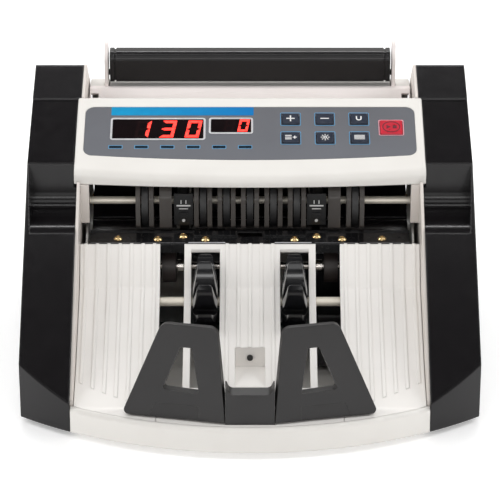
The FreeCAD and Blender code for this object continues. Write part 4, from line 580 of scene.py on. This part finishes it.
KEY_HALF_U, KEY_HALF_V = 5.6, 4.9
KEY_TOP = 0.8
KEY_COLUMNS = (26.8, 49.4, 72.0)
KEY_ROWS = {
    40.8: ("key_plus", "key_minus", "key_magnetic"),
    23.1: ("key_add", "key_ultraviolet", "key_batch"),
}


def on_key(outline, inner=None):
    """A flat mark on top of a key."""
    return slab(outline, KEY_TOP - SINK, KEY_TOP + INK_RISE, panel, 0.0, inner)


def strokes(u, v, lines, width):
    """Straight strokes about u, v, each given by its two ends."""
    return merge([on_key(bar((u + a, v + b), (u + c, v + d), width)) for a, b, c, d in lines])


def arc_band(u, v, radius, width, start, end, steps=14):
    """A flat curved stroke on a key."""
    outer, inner = radius + width / 2, radius - width / 2
    turns = [math.radians(start + (end - start) * i / steps) for i in range(steps + 1)]
    outline = [(u + outer * math.cos(t), v + outer * math.sin(t)) for t in turns]
    outline += [(u + inner * math.cos(t), v + inner * math.sin(t)) for t in reversed(turns)]
    total = len(outline)
    verts, faces = [], []
    for height in (KEY_TOP - SINK, KEY_TOP + INK_RISE):
        verts += [panel(a, b, height) for a, b in outline]
    for j in range(total):
        k = (j + 1) % total
        faces.append((j, k, total + k, total + j))
    for j in range(len(turns) - 1):
        a, b, c, d = j, j + 1, total - 2 - j, total - 1 - j
        faces.append((d, c, b, a))
        faces.append((total + a, total + b, total + c, total + d))
    return verts, faces


def magnet(u, v):
    legs = strokes(u, v, [(side, 0.4, side, 1.7) for side in (-1.5, 1.5)], 0.8)
    return merge([legs, arc_band(u, v, 1.5, 0.8, 180, 360)])


def sun(u, v):
    rays = []
    for i in range(8):
        turn = math.pi / 4 * i
        along = (math.cos(turn), math.sin(turn))
        rays.append((1.9 * along[0], 1.9 * along[1], 2.7 * along[0], 2.7 * along[1]))
    return merge([strokes(u, v, rays, 0.5), arc_band(u, v, 0.9, 0.6, 0, 359)])


def key_symbol(name, u, v):
    """The mark on one key: plus, minus, a magnet, rows with a plus, a sun or a stack of rows."""
    if name == "key_plus":
        return strokes(u, v, [(-2.3, 0, 2.3, 0), (0, -2.3, 0, 2.3)], 0.9)
    if name == "key_minus":
        return strokes(u, v, [(-2.4, 0, 2.4, 0)], 0.8)
    if name == "key_magnetic":
        return magnet(u, v)
    if name == "key_add":
        rows = [(-3.4, row, 0.2, row) for row in (-1.6, 0, 1.6)]
        return strokes(u, v, rows + [(1.6, 0, 3.6, 0), (2.6, -1.0, 2.6, 1.0)], 0.7)
    if name == "key_ultraviolet":
        return sun(u, v)
    return strokes(u, v, [(-3.2, row, 3.2, row) for row in (-1.6, -0.5, 0.6, 1.7)], 0.55)


for v, names in KEY_ROWS.items():
    for u, name in zip(KEY_COLUMNS, names):
        outer = centred(u, v, KEY_HALF_U + 1.25, KEY_HALF_V + 1.3, 1.2)
        inner = centred(u, v, KEY_HALF_U + 0.75, KEY_HALF_V + 0.75, 0.8)
        printed(f"{name}_border", outer, INK_RISE, line_ink, 0.0, inner)
        piece(f"{name}_symbol", *key_symbol(name, u, v), white_ink, f"{name}_body", "key_plastic")

START_U, START_V = 93.2, 32.8
outer = centred(START_U, START_V, 8.3, 7.3, 1.2)
inner = centred(START_U, START_V, 7.75, 6.8, 0.8)
printed("key_start_border", outer, STRIP_RISE, rose_ink, 0.0, inner)
ring_out = circle(START_U, START_V, 6.0, 40, 0.86)
ring_in = circle(START_U, START_V, 5.2, 40, 0.84)
piece("key_start_ring", *on_key(ring_out, ring_in), wine_ink, "key_start_body", "red_key_plastic")
ARROW_BACK, ARROW_TIP, ARROW_HALF = -3.2, -0.2, 1.9
arrow = [
    (START_U + ARROW_BACK, START_V - ARROW_HALF),
    (START_U + ARROW_TIP, START_V),
    (START_U + ARROW_BACK, START_V + ARROW_HALF),
]
block = rounded(START_U + 0.9, START_V - 1.5, START_U + 3.6, START_V + 1.5, 0.3, 2)
start_marks = [on_key(arrow), on_key(block)]
piece("key_start_symbol", *merge(start_marks), wine_ink, "key_start_body", "red_key_plastic")

# ---------------------------------------------------------------------------------------------
# Marks and lens on the two sensor boards behind the rollers
# ---------------------------------------------------------------------------------------------

SENSOR_FACE_Y = 15.0


def sensor_face(u, v, w):
    """A point on the front of the sensor boards: u to the right, v up and w towards the operator."""
    return Vector((u * MM, (SENSOR_FACE_Y - w) * MM, v * MM))


SENSOR_U = 43.5
SENSOR_BARS = (
    (-4.6, 104.2, 4.6, 105.2),
    (-3.0, 102.2, 3.0, 102.8),
    (-1.9, 106.0, -1.3, 108.6),
    (1.3, 106.0, 1.9, 108.6),
)
LENS_V, LENS_RADIUS = 94.2, 1.1

marks = []
for middle in (-SENSOR_U, SENSOR_U):
    for low_u, low_v, high_u, high_v in SENSOR_BARS:
        outline = rounded(middle + low_u, low_v, middle + high_u, high_v, 0.2, 2)
        marks.append(slab(outline, -SINK, INK_RISE, sensor_face))
    marks.append(slab(circle(middle, LENS_V, LENS_RADIUS, 20), -SINK, 0.35, sensor_face, 0.2))
piece("sensor_marks", *merge(marks), white_ink, "machine", "circuit_board")

# ---------------------------------------------------------------------------------------------
# Painted highlight along the folded front edge of the exit plate
# ---------------------------------------------------------------------------------------------

plate_low, plate_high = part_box("exit_plate")
FLANGE_RISE = 1.4
EDGE_SETBACK = 0.8
EDGE_RISE, EDGE_CHAMFER = 0.3, 0.15
EDGE_Y = plate_low[1] / MM + EDGE_SETBACK
EDGE_Z = plate_high[2] / MM - FLANGE_RISE


def plate_top(u, v, w):
    """A point on top of the exit plate: u to the right, v back from its front edge and w up."""
    return Vector((u * MM, (EDGE_Y + v) * MM, (EDGE_Z + w) * MM))


bright, dim = [], []
# brighter and fainter strips paint in the light that the plate's front edge catches
EDGE_STRIPS = ((16.0, 40.0, 1.1, bright), (42.0, 70.0, 0.7, dim), (71.0, 103.5, 0.7, dim))
for side in (-1, 1):
    for near, far, depth, made in EDGE_STRIPS:
        low_u, high_u = sorted((side * near, side * far))
        outline = rounded(low_u, 0.0, high_u, depth, 0.3, 3)
        made.append(slab(outline, -SINK, EDGE_RISE, plate_top, EDGE_CHAMFER))
piece("exit_edge_painted_highlight", *merge(bright), silver_foil_and_glint, "machine", "painted_steel")
piece("exit_edge_faint_painted_highlight", *merge(dim), edge_faint_painted_highlight, "machine", "painted_steel")

# ---------------------------------------------------------------------------------------------
# Floor, light and camera
# ---------------------------------------------------------------------------------------------

FLOOR_HALF = 3.0
floor_paint = Paint(
    "floor_pale", (0.90, 0.90, 0.90), 0.35, Emission_Color=(1.0, 1.0, 1.0, 1.0), Emission_Strength=0.3
)
floor_paint.mottle(0.2, (0.885, 0.885, 0.885)).grain(0.004, 2e-5)
floor_mesh = bpy.data.meshes.new("floor")
corners = [(x * FLOOR_HALF, y * FLOOR_HALF, 0.0) for x, y in ((-1, -1), (1, -1), (1, 1), (-1, 1))]
floor_mesh.from_pydata(corners, [], [(0, 1, 2, 3)])
floor_mesh.materials.append(floor_paint.mat)
floor = bpy.data.objects.new("floor", floor_mesh)
bpy.context.scene.collection.objects.link(floor)

world = bpy.data.worlds.new("studio")
world.use_nodes = True
sky = world.node_tree
ray = sky.nodes.new("ShaderNodeTexCoord")
height = sky.nodes.new("ShaderNodeSeparateXYZ")
fade = sky.nodes.new("ShaderNodeMapRange")
fade.interpolation_type = "SMOOTHSTEP"
# bright near the horizon and dark overhead
GLOW_TOP, DARK_FROM, GLOW, DARK = 0.26, 0.58, 0.8, 0.07
limits = {"From Min": GLOW_TOP, "From Max": DARK_FROM, "To Min": GLOW, "To Max": DARK}
for key, number in limits.items():
    fade.inputs[key].default_value = number
sky.links.new(ray.outputs["Generated"], height.inputs["Vector"])
sky.links.new(height.outputs["Z"], fade.inputs["Value"])
sky.links.new(fade.outputs["Result"], sky.nodes["Background"].inputs["Strength"])
sky.nodes["Background"].inputs["Color"].default_value = (1.0, 0.985, 0.97, 1.0)
bpy.context.scene.world = world
bpy.context.scene.view_settings.view_transform = "Standard"


def softbox(name, spot, aim, width, height, power):
    """A rectangular light at spot, turned towards aim, in metres and watts."""
    light = bpy.data.lights.new(name, "AREA")
    light.shape = "RECTANGLE"
    light.size = width
    light.size_y = height
    light.energy = power
    obj = bpy.data.objects.new(name, light)
    obj.location = spot
    obj.rotation_euler = (Vector(aim) - Vector(spot)).to_track_quat("-Z", "Y").to_euler()
    bpy.context.scene.collection.objects.link(obj)


softbox("left_box", (-1.15, 0.0, 0.95), (0.0, 0.0, 0.05), 0.6, 0.9, 9.0)
softbox("right_box", (1.15, 0.0, 0.95), (0.0, 0.0, 0.05), 0.6, 0.9, 9.0)
softbox("front_box", (0.0, -1.25, 1.5), (0.0, 0.0, 0.05), 1.3, 0.6, 4.0)
softbox("low_front", (0.0, -1.42, 0.52), (0.0, 0.0, 0.1), 1.1, 0.22, 2.8)
softbox("overhead_strip", (0.0, -0.14, 1.35), (0.0, -0.05, 0.1), 1.7, 0.12, 3.5)
softbox("back_high", (0.0, 1.0, 1.08), (0.0, 0.0, 0.1), 1.6, 0.26, 10.0)

camera_data = bpy.data.cameras.new("camera")
camera_data.lens = 180.0
camera_data.sensor_width = 36.0
camera_data.clip_start = 0.05
CAMERA_PLACE, CAMERA_TILT = (0.0, -1.4906, 0.7433), 66.0
camera = bpy.data.objects.new("camera", camera_data)
camera.location = CAMERA_PLACE
camera.rotation_euler = (math.radians(CAMERA_TILT), 0.0, 0.0)
bpy.context.scene.collection.objects.link(camera)
bpy.context.scene.camera = camera
